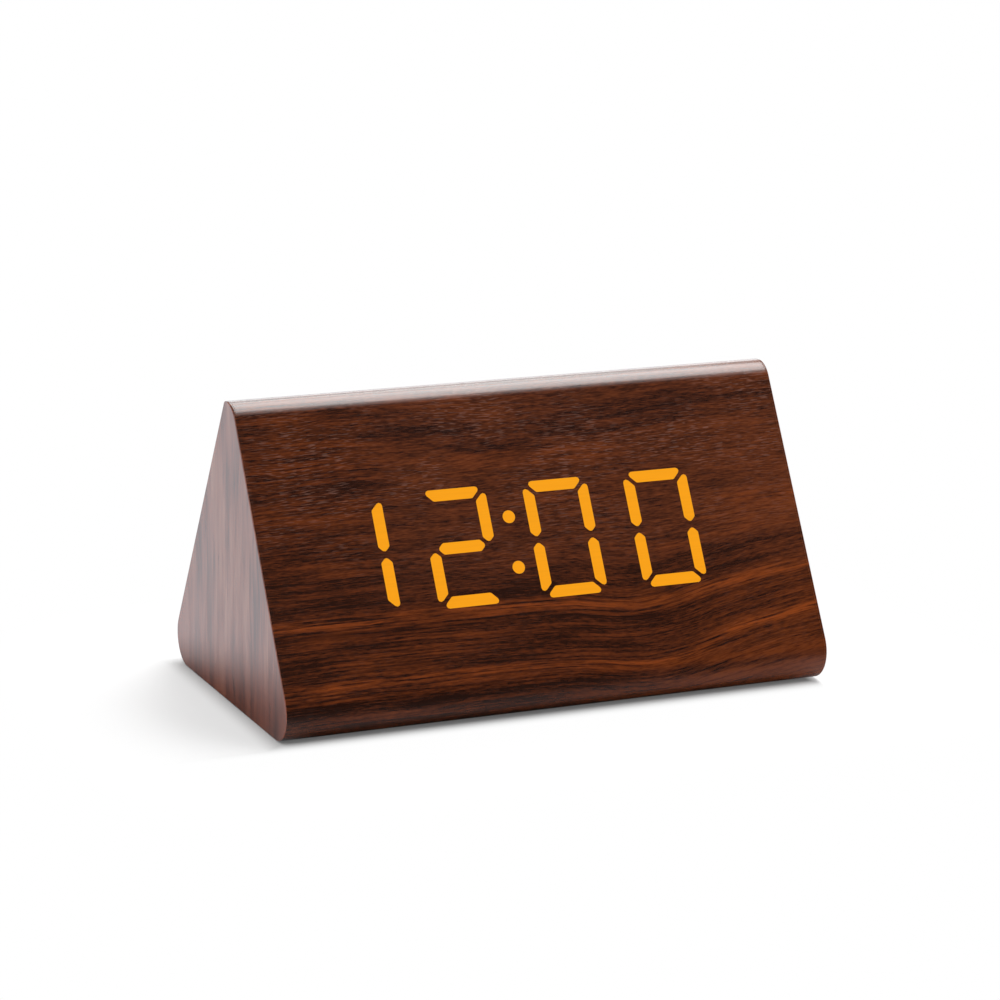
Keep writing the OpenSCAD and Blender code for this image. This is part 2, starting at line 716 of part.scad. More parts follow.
module power_socket() {
    mouth = -panel_inset - socket_inset;
    color(steel) on_panel() translate([row_x(4), 0, board_z]) difference() {
        linear_extrude(mouth - board_z) stadium(socket_size[0], socket_size[1]);
        translate([0, 0, socket_t]) linear_extrude(mouth - board_z)
            stadium(socket_size[0] - 2 * socket_t, socket_size[1] - 2 * socket_t);
    }
}

module socket_tongue() {
    foot_w = socket_size[0] - socket_size[1];
    foot_h = socket_size[1] - 2 * (socket_t + rest_gap);
    mouth = -panel_inset - socket_inset;
    color(black_part) on_panel() translate([row_x(4), 0, board_z + socket_t]) {
        slab(tongue_size[0], tongue_size[1], 0, mouth - board_z - tongue_inset - socket_t);
        slab(foot_w, foot_h, 0, tongue_foot);
    }
}

module buzzer() {
    color(black_part) on_panel() translate([row_x(5), 0, board_z]) difference() {
        cylinder(d = buzzer_size[0], h = buzzer_size[1]);
        translate([0, 0, buzzer_size[1] / 2]) cylinder(d = sound_hole_d, h = buzzer_size[1]);
    }
}

module microphone() {
    color(steel) on_panel() translate([mic_x, mic_y, board_z]) difference() {
        cylinder(d = mic_size[0], h = mic_size[1]);
        translate([0, 0, mic_size[1] / 2]) cylinder(d = sound_hole_d, h = mic_size[1]);
    }
}

module controller_chip() {
    color(black_part) on_panel() translate([chip_x, 0, board_back])
        slab(chip_size[0], chip_size[0], -chip_size[1], 0);
}

module backup_cell() {
    color(steel) on_panel() translate([clip_x, 0, board_back - clip_t - backup_size[1]])
        cylinder(d = backup_size[0], h = backup_size[1]);
}

module backup_cell_clip() {
    color(black_part) on_panel() translate([clip_x, 0, board_back]) difference() {
        translate([0, 0, -clip_t - backup_size[1]]) cylinder(d = clip_d, h = clip_t + backup_size[1]);
        translate([0, 0, -clip_t - backup_size[1] - cut])
            cylinder(r = backup_size[0] / 2 + rest_gap, h = backup_size[1] + cut);
        translate([0, clip_d / 2, 0])
            slab(backup_size[0] / 2, clip_d / 2, -clip_t - backup_size[1] - cut, -clip_t);
    }
}

module control_connector() {
    color(black_part) on_panel() translate([0, 0, board_back]) connector();
}

// Base and power
module base_plate() {
    pocket_z = base_inset + base_screw[1] + rest_gap;
    color(dark_plastic) difference() {
        union() {
            slab(base_l, base_w, base_inset, plate_top);
            slab(tray_l, tray_w, base_inset, bay_top);
        }
        slab(bay_l, bay_w, plate_top, cell_z + rib_rise);
        for (i = [0:cell_count - 1]) translate([-bay_l / 2, cell_y(i), cell_z])
            rotate([0, 90, 0]) cylinder(r = groove_r, h = bay_l);
        translate([hinge_x - set_gap, -bay_w / 2, 0])
            cube([bay_l / 2 - hinge_x + set_gap, bay_w, plate_top + cut]);
        translate([hinge_x - set_gap, -door_w / 2 - set_gap, 0])
            cube([door_end_x - hinge_x + 2 * set_gap, door_w + 2 * set_gap, door_z + rest_gap]);
        translate([door_end_x, 0, 0]) cylinder(r = notch_r, h = base_inset + notch_t);
        for (x = [-1, 1], y = [-1, 1])
            translate([x * base_screw_x, y * base_screw_y, pocket_z]) mirror([0, 0, 1]) {
                screw_hole(base_screw, plate_t);
                cylinder(r = base_screw[0] / 2 + screw_gap, h = plate_t);
            }
    }
}

module base_screws() {
    seat = base_inset + base_screw[1] + rest_gap;
    color(steel) for (x = [-1, 1], y = [-1, 1])
        translate([x * base_screw_x, y * base_screw_y, seat])
            mirror([0, 0, 1]) screw(base_screw, screw_bite + plate_top - seat);
}

module battery_door() {
    tab_z = plate_top + rest_gap;
    color(dark_plastic) {
        translate([hinge_x, -door_w / 2, base_inset])
            cube([door_end_x - hinge_x, door_w, door_t]);
        for (y = [-1, 1] * cell_pitch) translate([0, y - tab_size[0] / 2, 0]) {
            translate([hinge_x - tab_size[1], 0, tab_z])
                cube([2 * tab_size[1], tab_size[0], tab_size[2]]);
            translate([hinge_x, 0, base_inset])
                cube([tab_size[1], tab_size[0], tab_z + tab_size[2] - base_inset]);
        }
    }
}

module contact_plates() {
    color(steel) for (i = [0:cell_count - 1], x = [-1, 1])
        translate([x * (bay_l - contact_t) / 2, cell_y(i), cell_z])
            cube([contact_t, contact_size[0], contact_size[1]], center = true);
}

// A cell's own frame: +X towards its positive end, zero on the plate behind its spring
module at_cell(i) {
    side = i % 2 == 0 ? 0 : 180;
    translate([0, cell_y(i), cell_z]) rotate(side) translate([contact_t - bay_l / 2, 0, 0]) children();
}

module contact_springs() {
    color(steel) for (i = [0:cell_count - 1]) at_cell(i) tube(spring_path, spring_wire, wire_sides);
}

module battery_cell(i) {
    edge = cell_cap[1] / 2;
    can_l = cell_l - cell_cap[1];
    color("#3d6b8f") at_cell(i) translate([spring_l, 0, 0]) rotate([0, 90, 0]) {
        cylinder(d1 = cell_d - 2 * edge, d2 = cell_d, h = edge);
        translate([0, 0, edge]) cylinder(d = cell_d, h = can_l - 2 * edge);
        translate([0, 0, can_l - edge]) cylinder(d1 = cell_d, d2 = cell_d - 2 * edge, h = edge);
        translate([0, 0, can_l - edge]) cylinder(d = cell_cap[0], h = cell_cap[1] + edge);
    }
}

module battery_leads() {
    color("#a02020") for (x = lead_x)
        tube([for (p = lead_path) [x, p[0], p[1]]], lead_d, lead_sides);
}

wood_shell();
end_plug(-1);  // left_end_plug
end_plug(1);  // right_end_plug
end_veneer(-1);  // left_end_veneer
end_veneer(1);  // right_end_veneer
digit(0);  // hour_tens
digit(1);  // hour_units
colon_dots();
digit(2);  // minute_tens
digit(3);  // minute_units
diffuser_film();
segment_reflector();
display_board();
segment_leds();
display_connector();
display_screws();
control_panel();
panel_screws();
control_board();
board_screws();
key(1);  // set_key
key(2);  // up_key
key(3);  // down_key
key_switch(1);  // set_switch
key_switch(2);  // up_switch
key_switch(3);  // down_switch
plunger(1);  // set_plunger
plunger(2);  // up_plunger
plunger(3);  // down_plunger
power_socket();
socket_tongue();
buzzer();
microphone();
controller_chip();
backup_cell();
backup_cell_clip();
control_connector();
display_ribbon();
base_plate();
base_screws();
battery_door();
contact_plates();
contact_springs();
for (i = [0:cell_count - 1])
    battery_cell(i);
battery_leads();
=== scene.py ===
"""Looks of a triangular desk clock with a wood-grain body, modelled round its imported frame."""
import math

import bmesh
import bpy
from bpy.props import FloatProperty, FloatVectorProperty, PointerProperty
from mathutils import Matrix, Vector


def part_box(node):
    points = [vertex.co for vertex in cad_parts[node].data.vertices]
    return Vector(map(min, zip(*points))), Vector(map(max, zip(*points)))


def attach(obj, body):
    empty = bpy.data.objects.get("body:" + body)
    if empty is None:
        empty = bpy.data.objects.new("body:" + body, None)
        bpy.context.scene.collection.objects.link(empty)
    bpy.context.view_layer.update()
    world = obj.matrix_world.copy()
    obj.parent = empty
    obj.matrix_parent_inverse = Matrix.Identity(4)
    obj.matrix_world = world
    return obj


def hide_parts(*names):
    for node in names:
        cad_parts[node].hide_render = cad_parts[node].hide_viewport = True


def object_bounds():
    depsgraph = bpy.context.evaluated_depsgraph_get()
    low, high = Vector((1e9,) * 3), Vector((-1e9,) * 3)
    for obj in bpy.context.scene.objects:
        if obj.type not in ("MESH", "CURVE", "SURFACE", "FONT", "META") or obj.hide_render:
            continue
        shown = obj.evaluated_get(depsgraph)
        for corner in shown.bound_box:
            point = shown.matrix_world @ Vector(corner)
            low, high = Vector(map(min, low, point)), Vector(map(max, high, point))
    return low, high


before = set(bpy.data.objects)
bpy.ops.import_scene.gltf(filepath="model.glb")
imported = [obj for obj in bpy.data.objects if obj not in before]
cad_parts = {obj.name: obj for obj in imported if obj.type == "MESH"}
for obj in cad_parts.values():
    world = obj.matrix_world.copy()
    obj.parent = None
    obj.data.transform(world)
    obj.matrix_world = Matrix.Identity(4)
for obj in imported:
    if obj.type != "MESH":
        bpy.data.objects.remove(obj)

bl_info = {
    "name": "Wood-grain desk clock",
    "version": (1, 0, 0),
    "blender": (4, 5, 0),
    "location": "View3D > Sidebar > Clock",
    "description": "Models and dresses the pieces of a triangular desk clock",
    "category": "Object",
}

MM = 0.001
CAD_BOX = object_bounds()
FILM_MAP = "film"
WHITE, BLACK = (1.0, 1.0, 1.0), (0.0, 0.0, 0.0)
LIT_NODES = ("hour_tens", "hour_units", "colon_dots", "minute_tens", "minute_units")
KEY_MARKS = {"set": "ring", "up": "up", "down": "down"}
CELLS, PADS, GRIPS = 4, 12, 4

# Steps of the body's long corners outside and inside, of small fillets and of the floor's curve
OUTER_STEPS, INNER_STEPS, FILLET_STEPS, FLOOR_STEPS = 20, 4, 8, 12

# Steps of a full turn
KEY_TURN, SCREW_TURN, CELL_TURN, FLOOR_TURN = 64, 32, 40, 72

# Steps across an eased edge: a fine line, a moulded edge and an end panel's rim
LINE_STEPS, MOULD_STEPS, RIM_STEPS = 2, 3, 4

# Places nearer than a hair count as the same, and NEAR tells a piece's steps apart
HAIR, NEAR = 0.01 * MM, 0.1 * MM

# Distances at which points merge, in drawn pieces and in copies of CAD meshes
DRAWN_MERGE, CAD_MERGE = 1e-7, 1e-6

# Angles between faces, in degrees: as good as flat, still shaded smooth, and sharp
FLAT, SOFT, SHARP = 0.4, 35.0, 40.0

# Each lamp's place, the point it faces and its size, in metres
LAMPS = {
    "strip": ((0.44, 0.18, 1.05), (0.44, 0.18, 0.0), (0.50, 0.84)),
    "rear": ((0.44, 0.95, 1.05), (0.44, 0.95, 0.0), (0.60, 0.70)),
    "brow": ((0.44, -0.38, 1.05), (0.44, -0.38, 0.0), (0.50, 0.28)),
    "low": ((0.64, 1.47, 0.69), (0.0, 0.0, 0.06), (0.60, 0.94)),
    "fill": ((-0.68, -0.68, 1.16), (0.0, 0.0, 0.03), (0.9, 0.9))}


# Settings that a user would change

def srgb(red, green, blue):
    """Linear colour of an 8-bit display colour."""
    shares = (c / 255 for c in (red, green, blue))
    return tuple(c / 12.92 if c <= 0.04045 else ((c + 0.055) / 1.055) ** 2.4 for c in shares)


def length(label, text, size):
    """A length setting in metres, given in millimetres."""
    return FloatProperty(name=label, description=text, default=size * MM, min=0.0,
                         unit="LENGTH", precision=5)


def angle(label, text, degrees):
    """An angle setting, given in degrees."""
    return FloatProperty(name=label, description=text, default=math.radians(degrees),
                         subtype="ANGLE")


def amount(label, text, size):
    """A setting that is a plain number."""
    return FloatProperty(name=label, description=text, default=size, min=0.0)


def colour(label, text, *seen):
    """A colour setting, given as the 8-bit colour that is seen."""
    return FloatVectorProperty(name=label, description=text, default=srgb(*seen),
                               subtype="COLOR", min=0.0, max=1.0)


class ClockSizes(bpy.types.PropertyGroup):
    """Sizes of the modelled pieces that the frame's boxes don't give"""
    front_edge: length("Front edge", "Radius of the long edge at the front", 7.0)
    back_edge: length("Back edge", "Radius of the long edge at the back", 6.6)
    ridge: length("Ridge", "Radius of the ridge", 5.6)
    ridge_cut: FloatProperty(
        name="Ridge cut", default=0.22, min=0.0, max=0.26,
        description="How far the back slope lies inside the ridge's round, as a share of it")
    crest_lean: angle("Crest lean", "Lean of the narrow flat behind the ridge", 8.0)
    crest: length("Crest", "Radius of the corner where that flat meets the back slope", 1.0)
    inner_edge: length("Inner edge", "Radius of the long corners inside", 1.0)
    wall: length("Wall", "Thickness of the profile's walls", 6.0)
    film: length("Film", "Thickness of the film over the display", 0.5)
    display_rise: length("Display rise", "Middle of the display, up the front slope", 29.5)
    panel_rise: length("Panel rise", "Middle of the rear panel, up the back slope", 31.0)
    panel_corner: length("Panel corner", "Radius of the rear panel's corners", 2.0)
    set_gap: length("Set gap", "Clearance of pieces set into the wood", 0.25)
    slit: length("Slit", "Dark slit round each lit segment", 0.05)
    end_round: length("End rounding", "Rounding of the end panels' rims", 0.25)
    seam: length("Seam", "Bevel of the profile where the end panels meet it", 0.08)
    mould_round: length("Moulded rounding", "Rounding of moulded plastic edges", 0.25)
    metal_round: length("Metal rounding", "Rounding of pressed metal edges", 0.06)
    key_d: length("Key", "Diameter of a key", 8.0)
    key_edge: length("Key edge", "Rounding round a key's top", 0.5)
    key_dish: length("Key dish", "Depth of the dish in a key's top", 0.5)
    key_rim: length("Key rim", "Flat rim round a key's dish", 0.2)
    pad_w: length("Contact width", "Width of a gold contact on the socket's tongue", 0.3)
    pad_l: length("Contact length", "Length of a gold contact", 2.6)
    pad_t: length("Contact height", "Height of a gold contact, half of it sunk in", 0.06)
    pad_step: length("Contact step", "Distance between gold contacts", 0.5)
    grip_l: length("Grip", "Length of a grip rib on the battery door", 14.0)
    grip_w: length("Grip rib", "Width of a grip rib", 0.8)
    grip_t: length("Grip height", "Height of a grip rib", 0.28)
    grip_sunk: length("Grip root", "Depth to which a grip rib is sunk in the door", 0.3)
    grip_step: length("Grip step", "Distance between grip ribs", 1.8)
    grip_inset: length("Grip inset", "First grip rib to the door's free edge", 2.6)
    cell_cap_r: length("Cell cap", "Radius of a battery cell's raised cap", 1.9)
    cell_cap_l: length("Cell cap height", "Height of that cap", 0.8)
    cell_groove: length("Cell groove", "Depth of the grooves in a cell's ends", 0.12)
    cell_round: length("Cell rounding", "Rounding of a cell's rims", 0.4)


class ClockFinish(bpy.types.PropertyGroup):
    """Colours of the clock's finishes"""
    walnut_line: colour("Walnut line", "Darkest grain lines", 33, 13, 7)
    walnut_dark: colour("Walnut dark", "Dark bands of the grain", 51, 23, 11)
    walnut_mid: colour("Walnut", "Middle tone of the grain", 72, 34, 16)
    walnut_light: colour("Walnut light", "Light tone of the grain", 93, 46, 22)
    walnut_rust: colour("Walnut rust", "Rusty streaks in the grain", 126, 57, 16)
    pore: colour("Pores", "Short pale pores in the film", 134, 98, 86)
    end_dark: colour("End dark", "Dark streaks on the end panels", 80, 38, 24)
    end_mid: colour("End", "Middle tone of the end panels", 121, 64, 42)
    # This colour also gives the painted highlight along the end panels' rounded rims
    end_light_and_rim_highlight: colour("End light", "Light streaks on the end panels", 141, 92, 68)
    fibre: colour("Fibreboard", "Cut faces of the fibreboard", 150, 112, 76)
    amber: colour("Amber", "Light of the segments", 249, 161, 19)
    plastic: colour("Plastic", "Moulded black plastic", 31, 31, 33)
    key: colour("Key", "Key caps", 24, 24, 26)
    mark: colour("Marks", "Printed marks", 198, 198, 194)
    milk: colour("Milky plastic", "Reflector and diffuser", 226, 222, 210)
    board: colour("Board", "Solder mask of the boards", 22, 84, 46)
    chip: colour("Chips", "Black electronic parts", 30, 30, 34)
    phosphor: colour("Phosphor", "LED chips", 240, 196, 92)
    steel: colour("Steel", "Plated steel", 188, 190, 194)
    gold: colour("Gold", "Gold contacts", 214, 172, 96)
    wrap: colour("Cell wrap", "Sleeve of the battery cells", 44, 62, 84)
    band: colour("Cell band", "Band on the battery cells", 186, 190, 194)
    cable: colour("Ribbon", "Ribbon cable", 150, 154, 160)
    lead: colour("Leads", "Battery leads", 148, 40, 36)


class ClockStage(bpy.types.PropertyGroup):
    """Camera, lamps and floor"""
    azimuth: angle("Azimuth", "Camera's turn from the front, to the left where negative", -23.641)
    elevation: angle("Elevation", "Camera's angle above the floor", 13.865)
    roll: angle("Roll", "Camera's turn about its own axis", 0.56)
    distance: length("Distance", "Camera to the point it looks at", 782.61)
    target: FloatVectorProperty(
        name="Target", description="Point that the camera looks at",
        default=(-0.155 * MM, 0.0, 40.252 * MM), subtype="XYZ", unit="LENGTH")
    lens: FloatProperty(
        name="Lens", description="Focal length in millimetres", default=124.723, min=1.0)
    floor: colour("Floor", "Pale floor", 236, 236, 236)
    strip: amount("Strip", "Radiance of the lamp overhead", 11.5)
    rear: amount("Rear", "Radiance of the lamp behind the strip", 6.5)
    brow: amount("Brow", "Radiance of the lamp before the strip", 2.5)
    low: amount("Low", "Radiance of the low lamp behind", 2.2)
    fill: amount("Fill", "Radiance of the lamp at the front left", 2.2)
    surround: amount("Surround", "Strength of the surround in reflections", 0.05)
    sky: amount("Sky", "Strength of the surround's even light", 0.68)


# Shader expressions

class Value:
    """A shader socket that takes part in expressions: each operator adds its Math node."""

    def __init__(self, finish, socket):
        self.finish = finish
        self.socket = socket

    def math(self, operation, *others, clamp=False):
        return self.finish.maths(operation, self, *others, clamp=clamp)

    def other(self, name):
        """Another output of the same node."""
        return Value(self.finish, self.socket.node.outputs[name])

    def __add__(self, other):
        return self.math("ADD", other)

    def __radd__(self, other):
        return self.finish.maths("ADD", other, self)

    def __sub__(self, other):
        return self.math("SUBTRACT", other)

    def __rsub__(self, other):
        return self.finish.maths("SUBTRACT", other, self)

    def __mul__(self, other):
        return self.math("MULTIPLY", other)

    def __rmul__(self, other):
        return self.finish.maths("MULTIPLY", other, self)

    def __truediv__(self, other):
        return self.math("DIVIDE", other)

    def __neg__(self):
        return self.math("MULTIPLY", -1.0)

    def __abs__(self):
        return self.math("ABSOLUTE")

    def most(self, other):
        return self.math("MAXIMUM", other)

    def least(self, other):
        return self.math("MINIMUM", other)

    def exp(self):
        return self.math("EXPONENT")

    def root(self):
        return self.math("SQRT")

    def clamped(self):
        return self.math("ADD", 0.0, clamp=True)

    def sway(self, share):
        """How far a noise is from its middle, times a share."""
        return (self - 0.5) * share

    def smooth(self, start, end):
        """0 before start, 1 after end and a soft step between."""
        sockets = {"Value": self, "From Min": start, "From Max": end}
        return self.finish.node("MapRange", sockets, interpolation_type="SMOOTHSTEP")

    def hump(self, middle, half_width):
        """1 at the middle, falling off on both sides as a bell curve."""
        away = (self - middle) / half_width
        return (-(away * away)).exp()


class Finish:
    """A node material, with one method that adds every kind of node."""

    def __init__(self, name, tree=None):
        if tree is None:
            self.material = bpy.data.materials.new(name)
            self.material.use_nodes = True
            tree = self.material.node_tree
        self.tree = tree
        self.tree.nodes.clear()

    def feed(self, socket, value):
        if isinstance(value, Value):
            self.tree.links.new(value.socket, socket)
        elif socket.type == "RGBA":
            socket.default_value = (*value, 1.0)[:4]
        else:
            socket.default_value = value

    def node(self, kind, sockets=(), out=0, stops=(), **settings):
        """A node of this kind: settings and ramp stops first, then values or links of its sockets,
        by their names, or in order where names repeat."""
        node = self.tree.nodes.new("ShaderNode" + kind)
        for name, value in settings.items():
            setattr(node, name, value)
        if stops:
            ramp = node.color_ramp
            while len(ramp.elements) < len(stops):
                ramp.elements.new(1.0)
            for element, (place, tone) in zip(ramp.elements, stops):
                element.position = place
                element.color = (*tone, 1.0)
        if isinstance(sockets, dict):
            for name, value in sockets.items():
                self.feed(next(s for s in node.inputs if s.enabled and s.name == name), value)
        else:
            for socket, value in zip(node.inputs, sockets):
                self.feed(socket, value)
        outputs = [s for s in node.outputs if s.enabled]
        if not outputs:
            return node
        return Value(self, node.outputs[out] if isinstance(out, str) else outputs[out])

    def maths(self, operation, *values, clamp=False):
        return self.node("Math", values, operation=operation, use_clamp=clamp)

    def mix(self, share, first, second):
        """Colours mixed by a share from 0 to 1."""
        return self.node("Mix", {"Factor": share, "A": first, "B": second}, data_type="RGBA")

    def ramp(self, tone, stops, shares):
        """Colours by a tone, with each stop's red, green and blue times the shares."""
        stops = [(place, [c * k for c, k in zip(tint, shares)]) for place, tint in stops]
        return self.node("ValToRGB", {"Fac": tone}, stops=stops)

    def dot(self, first, second):
        return self.node("VectorMath", (first, second), out="Value", operation="DOT_PRODUCT")

    def vector(self, x, y, z=0.0):
        return self.node("CombineXYZ", {"X": x, "Y": y, "Z": z})

    def noise(self, place, scale, detail=2.0, rough=0.5, flat=False):
        sockets = {"Vector": place, "Scale": scale, "Detail": detail, "Roughness": rough}
        return self.node("TexNoise", sockets, noise_dimensions="2D" if flat else "3D")

    def place(self):
        """Object coordinates, with the three parts in millimetres."""
        spot = self.node("TexCoord", out="Object")
        parts = self.node("SeparateXYZ", {"Vector": spot})
        return spot, [parts.other(axis) / MM for axis in "XYZ"]

    def bump(self, height, depth, strength):
        """Relief of a height from 0 to 1, its depth in millimetres."""
        return self.node("Bump", {"Height": height, "Distance": depth * MM, "Strength": strength})

    def surface(self, **sockets):
        """Close the material with one shader; socket names are written with underscores."""
        sockets = {name.replace("_", " "): value for name, value in sockets.items()}
        self.node("OutputMaterial", {"Surface": self.node("BsdfPrincipled", sockets)})
        return self.material


# Finishes

def toned(tone, share, lift=0.0):
    """A colour made darker or lighter."""
    return [min(1.0, c * share + lift) for c in tone]


def walnut_film(tones):
    """Printed walnut film: bands that follow a grain figure, fine fibres and short pale pores, with
    painted light and shade on the lower rounding.
    """
    f = Finish("walnut")
    spot = f.node("SeparateXYZ", {"Vector": f.node("UVMap", uv_map=FILM_MAP)})
    x, v = spot / MM, spot.other("Y") / MM
    left = 1.0 - x.smooth(-40.0, -12.0)
    right = x.smooth(26.0, 48.0)

    # Grain figure: level lines that dip below the display and climb to the right
    wave = f.noise(f.vector(x * 0.020, v * 0.035), 1.0, 2.0, 0.5, flat=True)
    climb = 4.6 * x.smooth(30.0, 72.0) - 2.8 * x.hump(21.0, 15.0)
    grain = v - climb * (1.0 - 0.8 * v.smooth(16.0, 34.0)) + wave.sway(2.4)

    # Lines of their own that make a V under the ridge
    v_x = -5.0
    v_left = 9.0 * (1.0 - ((x - v_x).least(0.0) / 18.0).exp())
    v_right = 10.0 * (1.0 - ((v_x - x).least(0.0) / 45.0).exp())
    vee = v - v_left - v_right + wave.sway(1.5)

    def streaks(along, across, seed, detail=2.0, rough=0.55):
        place = f.vector(x * along + seed, grain * across + seed)
        return f.noise(place, 1.0, detail, rough, flat=True)

    broad = streaks(0.018, 0.11, 3.1, 1.0)
    bands = streaks(0.042, 0.42, 11.7)
    fibres = streaks(0.14, 1.5, 27.3)
    fine = streaks(0.50, 3.8, 41.9, 1.0)
    lines = streaks(0.032, 1.7, 88.0)
    break_up = streaks(0.045, 0.35, 57.0).smooth(0.30, 0.62)

    # Low on the front and at its left the wood is deeper and warmer
    deep = (1.0 - v.smooth(12.0, 30.0)).most(0.8 - 0.8 * x.smooth(-48.0, -26.0))
    tone = (
        0.45 - 0.07 * deep + (v - 30.0) * 0.001 + broad.sway(0.20) + bands.sway(0.34 + 0.18 * deep)
        + fibres.sway(0.56 - 0.16 * deep) + fine.sway(0.56) + lines.sway(0.12 + 0.66 * deep)
        + 0.08 * x.smooth(30.0, 60.0)
        # Lighter on the lower rounding and below it, most at the right: painted light on the
        # rounding
        + (0.05 + 0.22 * x.smooth(-20.0, 50.0)) * (1.0 - v.smooth(-3.0, 2.0))
        + 0.08 * right * (1.0 - v.smooth(14.0, 26.0)) - 0.09 * left * v.hump(6.0, 3.0))

    # Dark lines: the V, one beside it and a few more, and on the lower rounding a band of painted
    # shade with a paler band of painted highlight below it
    dark_lines_and_painted_shading = (
        (0.24 * vee.hump(51.2, 1.4) + 0.16 * vee.hump(48.4, 0.9) + 0.12 * vee.hump(54.0, 0.9))
        * v.smooth(45.0, 50.0) * (0.25 + 0.75 * x.smooth(-40.0, -22.0))
        + 0.28 * grain.hump(45.2, 1.4) * (1.0 - x.smooth(-44.0, -24.0))
        # Painted shade across the upper part of the lower rounding, and a painted highlight lower
        # on it
        + 0.36 * v.hump(-3.3, 1.2) * (1.0 - 0.4 * x.smooth(-5.0, 45.0))
        - 0.10 * v.hump(-6.3, 1.2) * (1.0 - x.smooth(20.0, 45.0))
        + (0.18 + 0.24 * left) * grain.hump(12.6, 1.0)
        + 0.18 * grain.hump(9.6, 0.6) + 0.12 * grain.hump(20.0, 3.0)
        + 0.18 * grain.hump(25.0, 0.8) * (1.0 - x.smooth(-46.0, -30.0))
        + 0.14 * grain.hump(22.6, 0.7) * x.smooth(10.0, 30.0))
    tone = tone - dark_lines_and_painted_shading * (0.45 + 0.55 * break_up)
    stops = ((0.14, tones.walnut_line), (0.32, tones.walnut_dark),
             (0.50, tones.walnut_mid), (0.78, tones.walnut_light))
    plain, warm = (f.ramp(tone, stops, k) for k in ((1.0, 0.96, 0.92), (1.0, 0.85, 0.56)))
    wood = f.mix(deep, plain, warm)

    # Rusty bands: below the display, along the foot, at the right and at the upper left
    rust = (
        0.95 * (grain + 1.2 * right).hump(15.4, 1.3)
        + (0.8 + 0.5 * right) * (grain - 2.2 * right).hump(1.4, 1.2)
        + 0.75 * grain.hump(33.5, 1.6) * x.smooth(34.0, 56.0)
        + 0.45 * grain.hump(26.6, 0.9) * x.smooth(8.0, 26.0)
        + 0.25 * grain.hump(50.0, 4.0) * (1.0 - x.smooth(-46.0, -20.0))
        + 0.25 * broad.smooth(0.54, 0.70))
    threads = (fibres * 0.35 + lines * 0.65).smooth(0.36, 0.60)
    rust = (rust * (0.25 + 0.75 * break_up) * threads).clamped()
    wood = f.mix(rust * 0.64, wood, tones.walnut_rust)

    # Short dark flecks all over, and pale pores in patches towards the ridge
    flecks = streaks(0.34, 3.0, 71.0, 1.0, 0.5).smooth(0.58, 0.74)
    wood = f.mix(flecks * (0.26 + 0.12 * deep), wood, tones.walnut_line)
    patchy = f.noise(f.vector(x * 0.05, v * 0.09 + 3.0), 1.0, 1.0, 0.5, flat=True)
    pores = streaks(0.36, 3.8, 7.0, 1.0, 0.5).smooth(0.56, 0.72) * patchy.smooth(0.30, 0.62)
    wood = f.mix(pores * (0.02 + 0.22 * v.smooth(20.0, 46.0)), wood, tones.pore)
    return f.surface(Base_Color=wood, Roughness=0.20 + fine.sway(0.06) + pores * 0.05,
                     Normal=f.bump(fine * 0.6 + pores, 0.01, 0.4), Specular_IOR_Level=0.38)


def end_film(tones):
    """Film on the end panels: upright streaks, painted reflection that makes them lighter higher
    up, and a painted highlight along the rounded rim.
    """
    f = Finish("end_walnut")
    _, (x, y, z) = f.place()
    wave = f.noise(f.vector(y * 0.05, z * 0.03, x * 0.001), 1.0, 2.0)
    grain = y + wave.sway(5.0)

    def streaks(across, along, seed, detail=2.0):
        place = f.vector(grain * across + seed, z * along + seed, x * 0.002)
        return f.noise(place, 1.0, detail, 0.55)

    broad = streaks(0.11, 0.022, 5.0, 1.0)
    bands = streaks(0.38, 0.036, 19.0)
    fibres = streaks(1.9, 0.090, 33.0)
    # Lighter and less red higher up the ends, redder at the foot: the change with height is painted
    # reflection of the pale floor
    high = z.smooth(2.0, 28.0)
    figure = broad.sway(0.8) + bands.sway(0.75) + fibres.sway(0.55)
    tone = 0.42 + 0.08 * high + figure * (1.0 + 0.6 * high)
    stops = ((0.18, tones.end_dark), (0.50, tones.end_mid), (0.84, tones.end_light_and_rim_highlight))
    foot, top = (f.ramp(tone, stops, k) for k in ((1.04, 0.92, 0.92), (0.96, 0.88, 0.90)))
    film = f.mix(z.smooth(8.0, 30.0), foot, top)
    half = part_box("right_end_veneer")[1].x / MM
    # Painted highlight along the rounded rim
    rim = 1.0 - abs(x).smooth(half - 0.34, half - 0.02)
    film = f.mix(rim * 0.25, film, tones.end_light_and_rim_highlight)
    return f.surface(Base_Color=film, Roughness=0.30 + fibres.sway(0.12),
                     Normal=f.bump(fibres, 0.03, 0.4), Coat_Roughness=0.18,
                     Coat_Weight=0.65 + bands.sway(0.5) + fibres.sway(0.3))


def fibreboard(tones):
    """Cut fibreboard: short matted fibres."""
    f = Finish("cut_fibreboard")
    spot, _ = f.place()
    matted = f.noise(spot, 900.0, 4.0, 0.7)
    patches = f.noise(spot, 90.0, 2.0)
    tone = f.mix(matted.smooth(0.3, 0.7), toned(tones.fibre, 0.62), tones.fibre)
    tone = f.mix(patches.smooth(0.4, 0.7) * 0.35, tone, toned(tones.fibre, 0.75))
    return f.surface(Base_Color=tone, Roughness=0.82 + matted.sway(0.2),
                     Normal=f.bump(matted, 0.06, 0.6))


